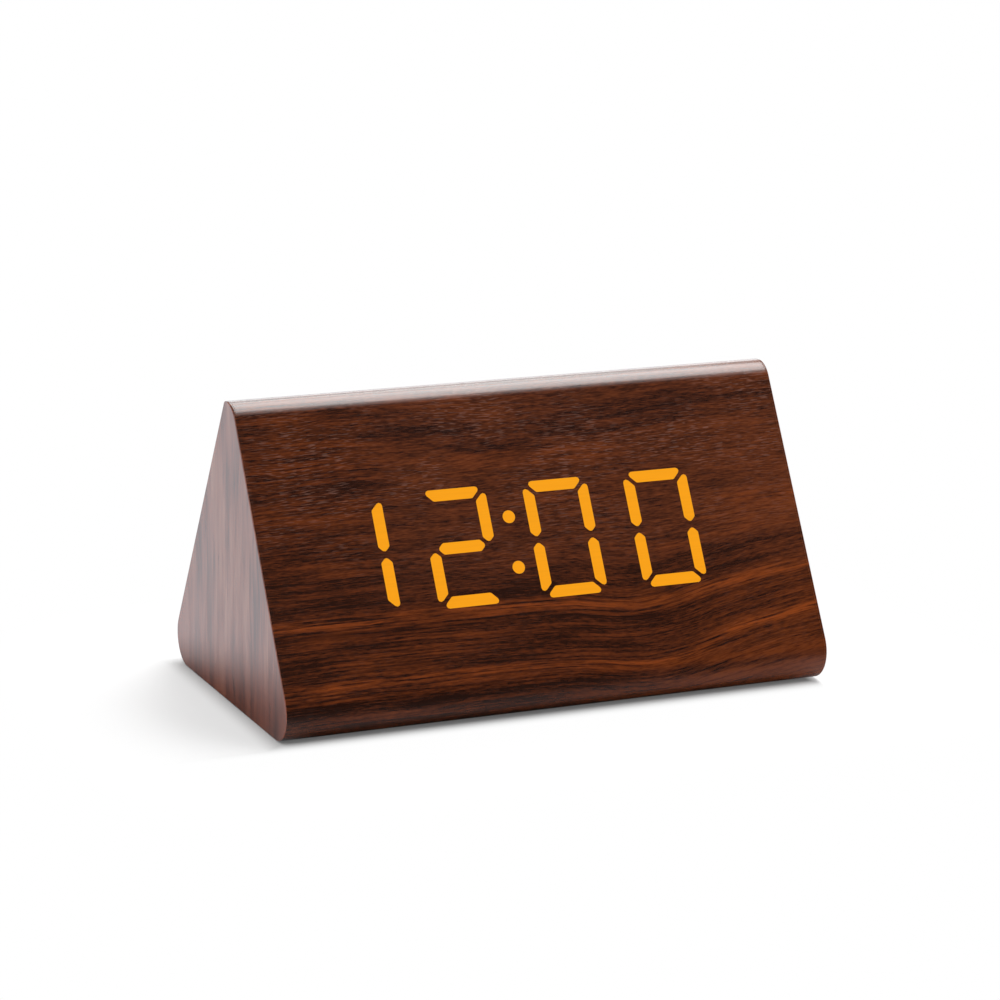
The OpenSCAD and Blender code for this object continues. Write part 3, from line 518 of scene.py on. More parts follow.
def amber_light(tones, section):
    """Lit segment: even amber on its face, dark down its sides, the film's fibres just showing."""
    f = Finish("amber_segment")
    _, (x, y, z) = f.place()
    normal, reach = section.sides["front"]
    depth = y * normal.x + z * normal.y - reach / MM
    face = depth.smooth(-0.10, -0.03)
    fibres = f.noise(f.vector(x * 0.10, z * 2.4, y * 0.2), 1.0, 2.0)
    warm = f.mix(fibres.smooth(0.35, 0.75) * 0.4, tones.amber, toned(tones.amber, 0.9))
    unlit, ember = (0.004, 0.002, 0.001), (0.03, 0.008, 0.001)
    return f.surface(Base_Color=unlit, Roughness=0.45 + fibres.sway(0.1), Specular_IOR_Level=0.1,
                     Emission_Color=f.mix(face, ember, warm), Emission_Strength=1.0)


def moulded(name, tone, gloss=0.46):
    """Moulded plastic with a fine spark-eroded skin and faint cloudy sheen."""
    f = Finish(name)
    spot, _ = f.place()
    skin = f.noise(spot, 3800.0, 2.0, 0.6)
    cloud = f.noise(spot, 130.0, 3.0)
    shade = f.mix(cloud.smooth(0.35, 0.70), toned(tone, 0.82), toned(tone, 1.22, 0.002))
    shade = f.mix(skin.smooth(0.55, 0.80) * 0.3, shade, toned(tone, 1.6, 0.004))
    return f.surface(Base_Color=shade, Roughness=gloss + skin.sway(0.16) + cloud.sway(0.10),
                     Normal=f.bump(skin, 0.02, 0.6))


def printed_key(name, tones, place, symbol):
    """Key cap with a printed mark in its dish: a ring, or a triangle that points up or down."""
    f = Finish(name)
    turn = place.inverted()
    spot = f.node("TexCoord", out="Object")
    across, up = ((f.dot(spot, turn[row][:3]) + turn[row][3]) / MM for row in range(2))
    if symbol == "ring":
        ring_r = 1.35
        mark = 1.0 - abs((across * across + up * up).root() - ring_r).smooth(0.20, 0.27)
    else:
        sign = 1.0 if symbol == "up" else -1.0
        edge = (abs(across) * 0.8660 + up * sign * 0.5).most(up * -sign)
        mark = 1.0 - edge.smooth(0.80, 0.87)
    skin = f.noise(spot, 4200.0, 2.0, 0.6)
    shade = f.mix(skin.smooth(0.4, 0.8), tones.key, toned(tones.key, 1.5, 0.003))
    worn = f.noise(spot, 1500.0, 2.0).smooth(0.25, 0.45)
    shade = f.mix(mark * (0.80 + 0.20 * worn), shade, tones.mark)
    return f.surface(Base_Color=shade, Roughness=0.36 + skin.sway(0.14) + mark * 0.12,
                     Normal=f.bump(skin, 0.015, 0.5))


def plated(name, tone, gloss=0.30):
    """Plated metal with fine drawn lines and a few dull spots."""
    f = Finish(name)
    spot, (x, y, z) = f.place()
    drawn = f.noise(f.vector(x * 0.4, y * 6.0, z * 6.0), 1.0, 3.0, 0.6)
    spots = f.noise(spot, 700.0, 3.0).smooth(0.52, 0.72)
    shade = f.mix(spots * 0.5, tone, toned(tone, 0.62))
    return f.surface(Base_Color=shade, Roughness=gloss + drawn.sway(0.18) + spots * 0.16,
                     Metallic=1.0, Normal=f.bump(drawn, 0.008, 0.4))


def milky_plastic(tones):
    """Milky white plastic, a little cloudy."""
    f = Finish("milky")
    spot, _ = f.place()
    cloud = f.noise(spot, 220.0, 3.0)
    shade = f.mix(cloud.smooth(0.35, 0.7), toned(tones.milk, 0.88), tones.milk)
    return f.surface(Base_Color=shade, Roughness=0.5 + cloud.sway(0.2))


def circuit_board(tones):
    """Solder mask over copper tracks, with gold pads."""
    f = Finish("solder_mask")
    spot, (x, y, z) = f.place()
    up = z * 0.87 + abs(y) * 0.49
    lane = f.noise(f.vector(x * 0.05, up * 0.4), 1.0, 1.0, flat=True)
    tracks = abs((up * 0.55 + lane.sway(2.2)).math("FRACT") - 0.5).smooth(0.30, 0.36)
    pads = f.node("TexVoronoi", {"Vector": spot, "Scale": 260.0, "Randomness": 0.6}, feature="F1")
    pads = 1.0 - pads.smooth(0.10, 0.14)
    mask = f.mix(tracks * 0.55, toned(tones.board, 0.75), toned(tones.board, 1.6))
    return f.surface(Base_Color=f.mix(pads, mask, tones.gold), Roughness=0.34 + pads * 0.06,
                     Metallic=pads, Normal=f.bump(tracks + pads, 0.03, 0.6))


def led_chip(tones):
    """LED chips: speckled yellow phosphor."""
    f = Finish("phosphor")
    spot, _ = f.place()
    dots = f.noise(spot, 2600.0, 2.0)
    shade = f.mix(dots.smooth(0.35, 0.65), tones.phosphor, toned(tones.phosphor, 0.75))
    return f.surface(Base_Color=shade, Roughness=0.4 + dots.sway(0.2))


def cell_wrap(name, tones, low, high, positive):
    """Battery cell: sleeve in two tones over steel, bare at both ends."""
    f = Finish(name)
    spot, (x, y, z) = f.place()
    along = (x - low / MM) / ((high - low) / MM)
    along = along if positive else 1.0 - along

    def between(start, end, soft):
        return along.smooth(start, start + soft) * (1.0 - along.smooth(end, end + soft))

    sleeve = between(0.010, 0.962, 0.004)
    band = between(0.70, 0.93, 0.003)
    stripe = between(0.655, 0.672, 0.002)
    ripple = f.noise(spot, 420.0, 2.0)
    scuffs = f.noise(f.vector(x * 0.6, y * 3.0, z * 3.0), 1.0, 3.0).smooth(0.62, 0.78)
    shade = f.mix(ripple.smooth(0.3, 0.7), toned(tones.wrap, 0.85), tones.wrap)
    shade = f.mix((band + stripe).clamped(), shade, tones.band)
    shade = f.mix(scuffs * 0.25, shade, tones.band)
    shade = f.mix(sleeve, tones.steel, shade)
    return f.surface(Base_Color=shade, Metallic=1.0 - 0.75 * sleeve, Coat_Weight=sleeve * 0.4,
                     Roughness=0.28 + ripple.sway(0.12), Normal=f.bump(ripple, 0.02, 0.3))


def cable_jacket(name, tone, cores=0.0):
    """Cable jacket, with the grooves between its cores where it is a ribbon, and painted shade in
    those grooves.
    """
    f = Finish(name)
    spot, (x, _, _) = f.place()
    dull = f.noise(spot, 600.0, 3.0)
    shade = f.mix(dull.smooth(0.35, 0.7), toned(tone, 0.8), tone)
    height = dull
    if cores:
        groove = abs((x * cores).math("FRACT") - 0.5).smooth(0.36, 0.48)
        # Painted shade in the grooves between the cores
        shade = f.mix(groove * 0.6, shade, toned(tone, 0.35))
        height = dull * 0.2 - groove
    return f.surface(Base_Color=shade, Roughness=0.5 + dull.sway(0.2),
                     Normal=f.bump(height, 0.08, 0.6))


def pale_floor(tone):
    """Pale floor that goes white round the clock's soft shadow, also where the clock mirrors it."""
    f = Finish("pale_floor")
    spot, (x, y, _) = f.place()
    grain = f.noise(spot, 40.0, 3.0)
    paper = f.mix(grain.smooth(0.3, 0.7), toned(tone, 0.985), tone)
    half = (CAD_BOX[1] - CAD_BOX[0]) / 2 / MM
    aside, apart = ((abs(part) - size).most(0.0) for part, size in ((x, half.x), (y, half.y)))
    reach = (aside * aside + apart * apart).root()
    ahead = -half.y - y
    behind = 1.0 - ahead.smooth(0.0, 24.0)
    rays = f.node("LightPath")
    direct = rays.most(rays.other("Is Transmission Ray"))
    mirrored = rays.other("Is Glossy Ray")

    # White where the floor is seen directly, less of it in the shadow at the left and behind
    lifted = 0.58 * reach.smooth(-1.6, 5.0) + 0.42 * reach.smooth(12.0, 48.0)
    lifted = lifted.most(0.95 * ahead.smooth(-5.5, 3.4)).most(0.9 * (x - half.x).smooth(-4.0, 3.0))

    # White where the clock mirrors it: round the ends, and a strip before the front
    glossy = (x * x + y * y).root().smooth(64.0, 96.0) * behind
    glossy = glossy + 0.26 * ahead.smooth(-3.0, 0.0) * (1.0 - ahead.smooth(3.0, 9.0))
    dimmed = direct * 0.28 + mirrored * (0.96 - 0.08 * behind)
    matt = f.node("BsdfDiffuse", {"Color": f.mix(dimmed, paper, BLACK)})
    cool = (0.90, 0.94, 1.0)
    white = f.node("Emission", {"Color": f.mix(mirrored, WHITE, cool), "Strength": 1.0})
    mixed = f.node("MixShader", (lifted * direct + glossy * mirrored, matt, white))
    f.node("OutputMaterial", {"Surface": mixed})
    return f.material


# Modelling helpers

def solo():
    """Leave nothing selected, so that operators act on the new piece alone."""
    if bpy.context.mode != "OBJECT":
        bpy.ops.object.mode_set(mode="OBJECT")
    bpy.ops.object.select_all(action="DESELECT")


def named(name):
    """Name the object that an operator has just added."""
    ob = bpy.context.object
    ob.name = ob.data.name = name
    return ob


def focus(*obs):
    """Select these objects alone, the first one active."""
    solo()
    for ob in obs:
        ob.select_set(True)
    bpy.context.view_layer.objects.active = obs[0]


def edit(ob):
    """Edit mode on one object, with all of it selected."""
    focus(ob)
    bpy.ops.object.mode_set(mode="EDIT")
    bpy.ops.mesh.select_mode(type="VERT")
    bpy.ops.mesh.select_all(action="SELECT")


def done():
    bpy.ops.object.mode_set(mode="OBJECT")


def round_edges(ob, test, width, segments, clamp=False):
    """Round the edges whose two ends pass a test of their places."""
    edit(ob)
    bpy.ops.mesh.select_mode(type="EDGE")
    bpy.ops.mesh.select_all(action="DESELECT")
    mesh = bmesh.from_edit_mesh(ob.data)
    for edge in mesh.edges:
        edge.select_set(test(*(v.co for v in edge.verts)))
    mesh.select_flush_mode()
    bmesh.update_edit_mesh(ob.data)
    bpy.ops.mesh.bevel(offset=width, segments=segments, profile=0.5, affect="EDGES",
                       clamp_overlap=clamp)
    done()


def below(level):
    """Test for edges that lie below a level."""
    return lambda a, b: a.z < level and b.z < level


def start_at(name, *place):
    """A new piece of one point, in edit mode, ready to be drawn out."""
    solo()
    bpy.ops.mesh.primitive_plane_add(size=MM, location=place)
    bpy.ops.object.transform_apply()
    ob = named(name)
    edit(ob)
    bpy.ops.mesh.merge(type="CENTER")
    return ob


def draw_to(step):
    bpy.ops.mesh.extrude_vertices_move(TRANSFORM_OT_translate={"value": step})


def draw_out(step):
    """Close the outline that is drawn in edit mode, and extrude it into a solid."""
    bpy.ops.mesh.select_all(action="SELECT")
    bpy.ops.mesh.edge_face_add()
    bpy.ops.mesh.extrude_region_move(TRANSFORM_OT_translate={"value": step})
    outward()
    done()


def lathe(name, start, path, steps, arc_steps=FILLET_STEPS):
    """Turned piece about the z axis: points and arcs (centre and angle), then spun round."""
    ob = start_at(name, start[0], 0.0, start[1])
    here = Vector(start)
    for step in path:
        if len(step) == 2:
            draw_to((step[0] - here.x, 0.0, step[1] - here.y))
            here = Vector(step)
        else:
            centre, turn = Vector(step[:2]), step[2]
            bpy.ops.mesh.spin(steps=arc_steps, angle=turn, center=(centre.x, 0.0, centre.y),
                              axis=(0.0, 1.0, 0.0))
            here = centre + Matrix.Rotation(turn, 2) @ (here - centre)
    bpy.ops.mesh.select_all(action="SELECT")
    bpy.ops.mesh.spin(steps=steps, angle=2 * math.pi, center=(0.0, 0.0, 0.0), axis=(0.0, 0.0, 1.0))
    outward()
    done()
    return ob


def dome_radius(half_width, rise):
    """Radius of the sphere that gives a dome or dish of this half width and rise."""
    return (half_width ** 2 + rise ** 2) / (2 * rise)


def placed(model, name, place):
    """Copy of a finished piece, with a mesh of its own, moved to its place."""
    ob = bpy.data.objects.new(name, model.data.copy())
    ob.data.name = name
    ob.data.transform(place)
    bpy.context.scene.collection.objects.link(ob)
    return ob


def outward():
    """Merge what coincides and turn the faces out, over the whole piece in edit mode."""
    bpy.ops.mesh.select_all(action="SELECT")
    bpy.ops.mesh.remove_doubles(threshold=DRAWN_MERGE)
    bpy.ops.mesh.normals_make_consistent(inside=False)


def block(name, place, low, high, corner=0.0):
    """Block between two corners in a frame of its own, with its upright edges rounded."""
    solo()
    bpy.ops.mesh.primitive_cube_add(size=1.0)
    ob = named(name)
    edit(ob)
    bpy.ops.transform.resize(value=Vector(high) - Vector(low))
    bpy.ops.transform.translate(value=(Vector(low) + Vector(high)) / 2)
    done()
    if corner:
        round_edges(ob, lambda a, b: abs(a.z - b.z) > HAIR, corner, FILLET_STEPS)
    ob.data.transform(place)
    return ob


def cross(name, slot, arm, low, high):
    """Upright cross about the z axis between two levels, from its arms' half width and reach."""
    quarter = [Vector((slot, -arm)), Vector((slot, -slot)), Vector((arm, -slot))]
    outline = [Matrix.Rotation(i * math.pi / 2, 2) @ spot for i in range(4) for spot in quarter]
    ob = start_at(name, *outline[0], low)
    for before, after in zip(outline, outline[1:]):
        draw_to((*(after - before), 0.0))
    draw_out((0.0, 0.0, high - low))
    return ob


def apply(ob, kind, **settings):
    """Add a modifier to a piece and apply it."""
    focus(ob)
    modifier = ob.modifiers.new(kind.title(), kind)
    for name, value in settings.items():
        setattr(modifier, name, value)
    bpy.ops.object.modifier_apply(modifier=modifier.name)


def carve(ob, cutter, operation="DIFFERENCE"):
    """Cut one piece out of another, or add it, and drop it."""
    apply(ob, "BOOLEAN", object=cutter, operation=operation, solver="EXACT")
    bpy.data.objects.remove(cutter)


def pocket(ob, name, place, extents, gap, bottom, top, corner=0.0):
    """Cut a pocket round a piece's extents: a gap at the sides, and a bottom and top of its own."""
    room = Vector((gap, gap, 0.0))
    low, high = extents[0] - room, extents[1] + room
    low.z, high.z = bottom, top
    carve(ob, block(name, place, low, high, corner))


def joined(*obs):
    focus(*obs)
    bpy.ops.object.join()
    return obs[0]


def copied(node, name):
    """A merged copy of a CAD node's mesh, with its flat faces whole again."""
    ob = bpy.data.objects.new(name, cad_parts[node].data.copy())
    bpy.context.scene.collection.objects.link(ob)
    edit(ob)
    bpy.ops.mesh.customdata_custom_splitnormals_clear()
    bpy.ops.mesh.remove_doubles(threshold=CAD_MERGE)
    bpy.ops.mesh.dissolve_limited(angle_limit=math.radians(FLAT))
    done()
    return ob


def softened(node, name, width, where=None):
    """Copy of a CAD node with its sharp edges rounded, or those that a test of places keeps."""
    ob = copied(node, name)
    if where:
        round_edges(ob, where, width, MOULD_STEPS, clamp=True)
    else:
        apply(ob, "BEVEL", width=width, segments=MOULD_STEPS, limit_method="ANGLE",
              angle_limit=math.radians(SHARP))
    return ob


def smooth(ob, degrees):
    """Smooth shading over soft edges, with flat faces kept flat."""
    focus(ob)
    bpy.ops.object.shade_smooth_by_angle(angle=math.radians(degrees))
    apply(ob, "WEIGHTED_NORMAL", weight=100, keep_sharp=True)


def dress(ob, *materials):
    """Replace a piece's materials."""
    ob.data.materials.clear()
    for material in materials:
        ob.data.materials.append(material)


def seat(ob, body, slot, *nodes, degrees=SOFT):
    """Smooth a finished piece, and let it ride on its body and stand for its CAD nodes."""
    smooth(ob, degrees)
    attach(ob, body)
    if nodes:
        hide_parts(*nodes)


def extent(node, place=Matrix(), keep=None):
    """Lowest and highest corner of a CAD node, or of what a test keeps of it, in a frame's axes."""
    inverse = place.inverted()
    points = [inverse @ v.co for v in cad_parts[node].data.vertices]
    points = [p for p in points if keep is None or keep(p)]
    return Vector(map(min, zip(*points))), Vector(map(max, zip(*points)))


# The body's section

def belt_normal(start, start_r, end, end_r):
    """Outer normal of the straight run from one round corner to the next, going clockwise."""
    run = end - start
    along = run.normalized()
    lean = (start_r - end_r) / run.length
    return math.sqrt(1 - lean * lean) * Vector((-along.y, along.x)) + lean * along


class Section:
    """The body's rounded section in the (y, z) plane, and how the film runs round it."""

    # Round corners in clockwise order, each with the sides before and after it
    CORNERS = (("front", "base", "front"), ("ridge", "front", "crest"),
               ("crest", "crest", "back"), ("back", "back", "base"))
    INNER_CORNERS = (("front", "base", "front"), ("ridge", "front", "back"),
                     ("back", "back", "base"))

    # A round corner that each side touches
    TOUCHED = {"front": "front", "crest": "ridge", "back": "back", "base": "front"}

    def __init__(self, sizes):
        low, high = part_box("right_end_veneer")
        self.radii = {"front": sizes.front_edge, "ridge": sizes.ridge,
                      "crest": sizes.crest, "back": sizes.back_edge}
        front = Vector((low.y + sizes.front_edge, sizes.front_edge))
        ridge = Vector((0.0, high.z - sizes.ridge))
        back = Vector((high.y - sizes.back_edge, sizes.back_edge))
        rounds = {"front": front, "ridge": ridge, "back": back}
        back_start_r = sizes.ridge * (1.0 - sizes.ridge_cut)
        normals = {
            "front": belt_normal(front, sizes.front_edge, ridge, sizes.ridge),
            "crest": Vector((math.sin(sizes.crest_lean), math.cos(sizes.crest_lean))),
            "back": belt_normal(ridge, back_start_r, back, sizes.back_edge),
            "base": Vector((0.0, -1.0))}
        self.sides = {side: (normals[side], normals[side].dot(rounds[corner]) + self.radii[corner])
                      for side, corner in self.TOUCHED.items()}
        self.centres = {corner: self.corner(before, after, self.radii[corner])
                        for corner, before, after in self.CORNERS}
        self.along = {side: Vector((n.y, -n.x)) for side, n in normals.items()}
        self.up = {"front": self.along["front"], "back": -self.along["back"]}
        self.feet = {side: self.touch(side, side) for side in self.up}

        # How far round the film each flat and each round corner starts
        self.starts, run = {}, 0.0
        for (corner, _, side), (after, _, next_side) in zip(self.CORNERS, self.CORNERS[1:]):
            self.starts[side] = run
            run += (self.touch(after, side) - self.touch(corner, side)).dot(self.along[side])
            self.starts[after + "_arc"] = run
            run += self.radii[after] * normals[side].angle(normals[next_side])

    def touch(self, corner, side):
        """Point where a round corner meets a side."""
        return self.centres[corner] + self.radii[corner] * self.sides[side][0]

    def corner(self, first, second, inset):
        """Point where two sides meet once both have moved inward."""
        (n, a), (m, b) = self.sides[first], self.sides[second]
        a, b = a - inset, b - inset
        k = n.x * m.y - n.y * m.x
        return Vector((a * m.y - b * n.y, n.x * b - m.x * a)) / k

    def prism(self, name, x0, x1, inset=0.0, radius=None, steps=OUTER_STEPS):
        """Solid of the section between two places along the body, drawn out by spin and extrude."""
        turns = []
        for corner, before, after in self.CORNERS if radius is None else self.INNER_CORNERS:
            r = self.radii[corner] if radius is None else radius
            centre = self.corner(before, after, inset + r)
            turns.append((centre, self.sides[before][0], self.sides[after][0], r))
        ends = [(c + r * n, c + r * m) for c, n, m, r in turns]
        ob = start_at(name, x0, *ends[0][0])
        for i, (centre, n, m, _) in enumerate(turns):
            if i:
                draw_to((0.0, *(ends[i][0] - ends[i - 1][1])))
            bpy.ops.mesh.spin(steps=steps, angle=n.angle(m), center=(x0, *centre),
                              axis=(1.0, 0.0, 0.0))
        draw_out((x1 - x0, 0.0, 0.0))
        return ob

    def slope(self, side, rise):
        """Frame on a slope: x along the body, y up the slope, z outward, zero on the film."""
        across = 1.0 if side == "front" else -1.0
        up, normal = self.up[side], self.sides[side][0]
        foot = self.feet[side] + rise * up
        return Matrix(((across, 0.0, 0.0, 0.0), (0.0, up.x, normal.x, foot.x),
                       (0.0, up.y, normal.y, foot.y), (0.0, 0.0, 0.0, 1.0)))

    def depth(self, point):
        """Distance of a point (y, z) inside the section's outer skin."""
        region = self.region(point)
        for corner, centre in self.centres.items():
            if region == corner + "_arc":
                return self.radii[corner] - (point - centre).length
        return min(reach - normal.dot(point) for normal, reach in self.sides.values())

    def region(self, point):
        """The flat or round stretch of the skin that lies over a point (y, z)."""
        for corner, before, after in self.CORNERS:
            away = point - self.centres[corner]
            if away.dot(self.along[before]) > 0 > away.dot(self.along[after]):
                return corner + "_arc"
        return min(self.sides, key=lambda s: self.sides[s][1] - self.sides[s][0].dot(point))

    def run(self, region, point):
        """How far round the film a point lies, from the foot of the front slope upward."""
        front, radius = self.sides["front"][0], self.radii["front"]
        away = point - self.centres["front"]
        if region == "base":
            return -away.x - radius * self.sides["base"][0].angle(front)
        if region == "front_arc":
            return -radius * away.angle(front, 0.0)
        for corner, before, after in self.CORNERS:
            if region == corner + "_arc":
                away = point - self.centres[corner]
                turned = away.angle(self.sides[before][0], 0.0)
                return self.starts[region] + self.radii[corner] * turned
            if region == after:
                away = point - self.touch(corner, after)
                return self.starts[region] + away.dot(self.along[after])

    def unwrap(self, ob):
        """Map the film over a piece: along the body, and round it from the front slope's foot."""
        uv = ob.data.uv_layers.new(name=FILM_MAP)
        for face in ob.data.polygons:
            region = self.region(Vector(face.center.yz))
            for corner in face.loop_indices:
                co = ob.data.vertices[ob.data.loops[corner].vertex_index].co
                uv.data[corner].uv = co.x, self.run(region, Vector(co.yz))


# Operators, one for each piece or group of like pieces

class ClockOperator:
    """What the clock's operators share"""
    bl_options = {"REGISTER", "UNDO"}

    def settings(self, context):
        scene = context.scene
        return scene.clock_sizes, scene.clock_finish, Section(scene.clock_sizes)


class CLOCK_OT_walnut_body(ClockOperator, bpy.types.Operator):
    """Film-wrapped fibreboard profile, cut out for the segments, the rear panel and the base"""
    bl_idname = "clock.walnut_body"
    bl_label = "Walnut body"

    def execute(self, context):
        sizes, tones, section = self.settings(context)
        low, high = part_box("wood_shell")
        body = section.prism("walnut_body", low.x, high.x)
        round_edges(body, lambda a, b: abs(a.x - b.x) < HAIR, sizes.seam, LINE_STEPS)
        ends = low.x - MM, high.x + MM
        carve(body, section.prism("hollow", *ends, sizes.wall, sizes.inner_edge, INNER_STEPS))
        self.cut_display(body, sizes, section)
        self.cut_openings(body, sizes, section)
        section.unwrap(body)
        dress(body, walnut_film(tones), fibreboard(tones))
        for face in body.data.polygons:
            face.material_index = int(section.depth(Vector(face.center.yz)) > NEAR)
        seat(body, "case", "walnut_film", "wood_shell")
        return {"FINISHED"}

    def cut_display(self, body, sizes, section):
        """Thin the wall behind the display and cut the segments through the film."""
        front = section.slope("front", sizes.display_rise)
        display = extent("segment_reflector", front)
        pocket(body, "window", front, display, sizes.set_gap, -sizes.wall - MM, -sizes.film)
        lit = joined(*(copied(node, "cut_" + node) for node in LIT_NODES))
        edit(lit)
        bpy.ops.transform.shrink_fatten(value=sizes.slit, use_even_offset=True)
        done()
        carve(body, lit)

    def cut_openings(self, body, sizes, section):
        """Stepped openings in the back slope and the base: a seat, and a mouth through the wall."""
        gap, wall = sizes.set_gap, sizes.wall
        back = section.slope("back", sizes.panel_rise)
        plate = extent("control_panel", back, lambda p: p.z > -2.0 * MM)
        edge = plate[1].x - MM
        floor = extent("control_panel", back, lambda p: p.x > edge)[0].z
        pocket(body, "panel_seat", back, plate, gap, floor, MM, sizes.panel_corner)
        tub = extent("control_panel", back, lambda p: p.z < floor - MM)
        pocket(body, "panel_mouth", back, tub, gap, -wall - MM, MM)
        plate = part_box("base_plate")
        edge = plate[1].x - MM
        top = extent("base_plate", keep=lambda p: p.x > edge)[1].z
        pocket(body, "base_seat", Matrix(), plate, gap, -MM, top)
        bay = extent("base_plate", keep=lambda p: p.z > wall)
        pocket(body, "bay_mouth", Matrix(), bay, gap, -MM, wall + MM)


class CLOCK_OT_end_panels(ClockOperator, bpy.types.Operator):
    """Film-faced panels on the two ends, with softly rounded rims"""
    bl_idname = "clock.end_panels"
    bl_label = "End panels"

    def execute(self, context):
        sizes, tones, section = self.settings(context)
        film, wrap = end_film(tones), bpy.data.materials.get("walnut") or walnut_film(tones)
        for side in ("left", "right"):
            node = side + "_end_veneer"
            low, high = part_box(node)
            panel = section.prism(side + "_end_panel", low.x, high.x)
            outer = low.x if side == "left" else high.x
            round_edges(panel, lambda a, b: abs(a.x - outer) + abs(b.x - outer) < HAIR,
                        sizes.end_round, RIM_STEPS)
            section.unwrap(panel)
            dress(panel, film, wrap)
            for face in panel.data.polygons:
                face.material_index = int(abs(face.normal.x) < 0.5)
            seat(panel, "case", "end_film", node, degrees=50.0)
        return {"FINISHED"}


class CLOCK_OT_rear_panel(ClockOperator, bpy.types.Operator):
    """Moulded panel in the back slope, with its edges eased"""
    bl_idname = "clock.rear_panel"
    bl_label = "Rear panel"

    def execute(self, context):
        sizes, tones, section = self.settings(context)
        back = section.slope("back", sizes.panel_rise)
        inverse, face = back.inverted(), extent("control_panel", back)[1].z
        on_face = lambda a, b: all(abs((inverse @ p).z - face) < HAIR for p in (a, b))
        panel = softened("control_panel", "rear_panel", sizes.mould_round, on_face)
        dress(panel, moulded("panel_plastic", tones.plastic))
        seat(panel, "case", "dark_plastic", "control_panel")
        return {"FINISHED"}


class CLOCK_OT_keys(ClockOperator, bpy.types.Operator):
    """Three turned keys with dished tops and printed marks"""
    bl_idname = "clock.keys"
    bl_label = "Keys"

    def execute(self, context):
        sizes, tones, section = self.settings(context)
        back = section.slope("back", sizes.panel_rise)
        low, high = extent("set_key", back)
        middle = (low.x + high.x) / 2
        radius, edge, dish = sizes.key_d / 2, sizes.key_edge, sizes.key_dish
        flange = extent("set_key", back, lambda p: abs(p.x - middle) > radius + 2 * NEAR)
        stem = extent("set_key", back, lambda p: p.z < low.z + NEAR)
        flange_r, stem_r = (high.x - low.x) / 2, (stem[1].x - stem[0].x) / 2
        dish_a = radius - edge - sizes.key_rim
        dish_r = dome_radius(dish_a, dish)
        model = lathe("key", (0.0, low.z), [
            (stem_r, low.z), (stem_r, flange[0].z), (flange_r, flange[0].z),
            (flange_r, flange[1].z), (radius, flange[1].z), (radius, high.z - edge),
            (radius - edge, high.z - edge, math.pi / 2), (dish_a, high.z),
            (0.0, high.z - dish + dish_r, -math.asin(dish_a / dish_r))], KEY_TURN)
        for key, symbol in KEY_MARKS.items():
            low, high = extent(key + "_key", back)
            place = back @ Matrix.Translation(((low.x + high.x) / 2, (low.y + high.y) / 2, 0.0))
            cap = placed(model, key + "_cap", place)
            dress(cap, printed_key(key + "_plastic", tones, place, symbol))
            seat(cap, key + "_button", "key_plastic", key + "_key")
        bpy.data.objects.remove(model)
        return {"FINISHED"}


class CLOCK_OT_screws(ClockOperator, bpy.types.Operator):
    """Pan-head screws with a cross recess, in the rear panel and the base"""
    bl_idname = "clock.screws"
    bl_label = "Screws"

    def execute(self, context):
        sizes, tones, section = self.settings(context)
        metal = plated("screw_steel", tones.steel, 0.26)
        back = section.slope("back", sizes.panel_rise)
        self.drive("panel_screw", "panel_screws", back, 1, metal)
        self.drive("base_screw", "base_screws", Matrix.Rotation(math.pi, 4, "X"), 2, metal)
        return {"FINISHED"}

    def drive(self, name, node, place, rows, metal):
        """One screw, modelled from its node's sizes and copied to two columns of these rows."""
        low, high = extent(node, place)
        column = extent(node, place, lambda p: p.x > 0)
        head_r = (column[1].x - column[0].x) / 2
        centre_x = high.x - head_r
        shank = extent(node, place, lambda p: p.x > 0 and p.z < low.z + 5 * NEAR)
        shank_r = shank[1].x - centre_x
        neck = extent(node, place, lambda p: p.x > centre_x + 0.9 * head_r)[0].z - high.z
        tip, tip_r, tip_l = low.z - high.z, 0.55 * shank_r, 0.8 * shank_r
        dome, recess = -0.45 * neck, 0.55 * neck
        dome_r = dome_radius(head_r, dome)
        model = lathe(name, (0.0, tip), [
            (tip_r, tip), (shank_r, tip + tip_l), (shank_r, neck), (head_r, neck),
            (head_r, -dome), (0.0, -dome_r, math.asin(head_r / dome_r))], SCREW_TURN)
        slot, arm = head_r / 6, 0.62 * head_r
        carve(model, cross("cross", slot, arm, recess, MM))
        edit(model)
        outward()
        done()
        row_y = (0.0,) if rows == 1 else (head_r - high.y, high.y - head_r)
        spots = [(x, y, high.z) for x in (-centre_x, centre_x) for y in row_y]
        for i, spot in enumerate(spots, 1):
            screw = placed(model, f"{name}_{i}", place @ Matrix.Translation(spot))
            dress(screw, metal)
            seat(screw, "case", "steel", node)
        bpy.data.objects.remove(model)


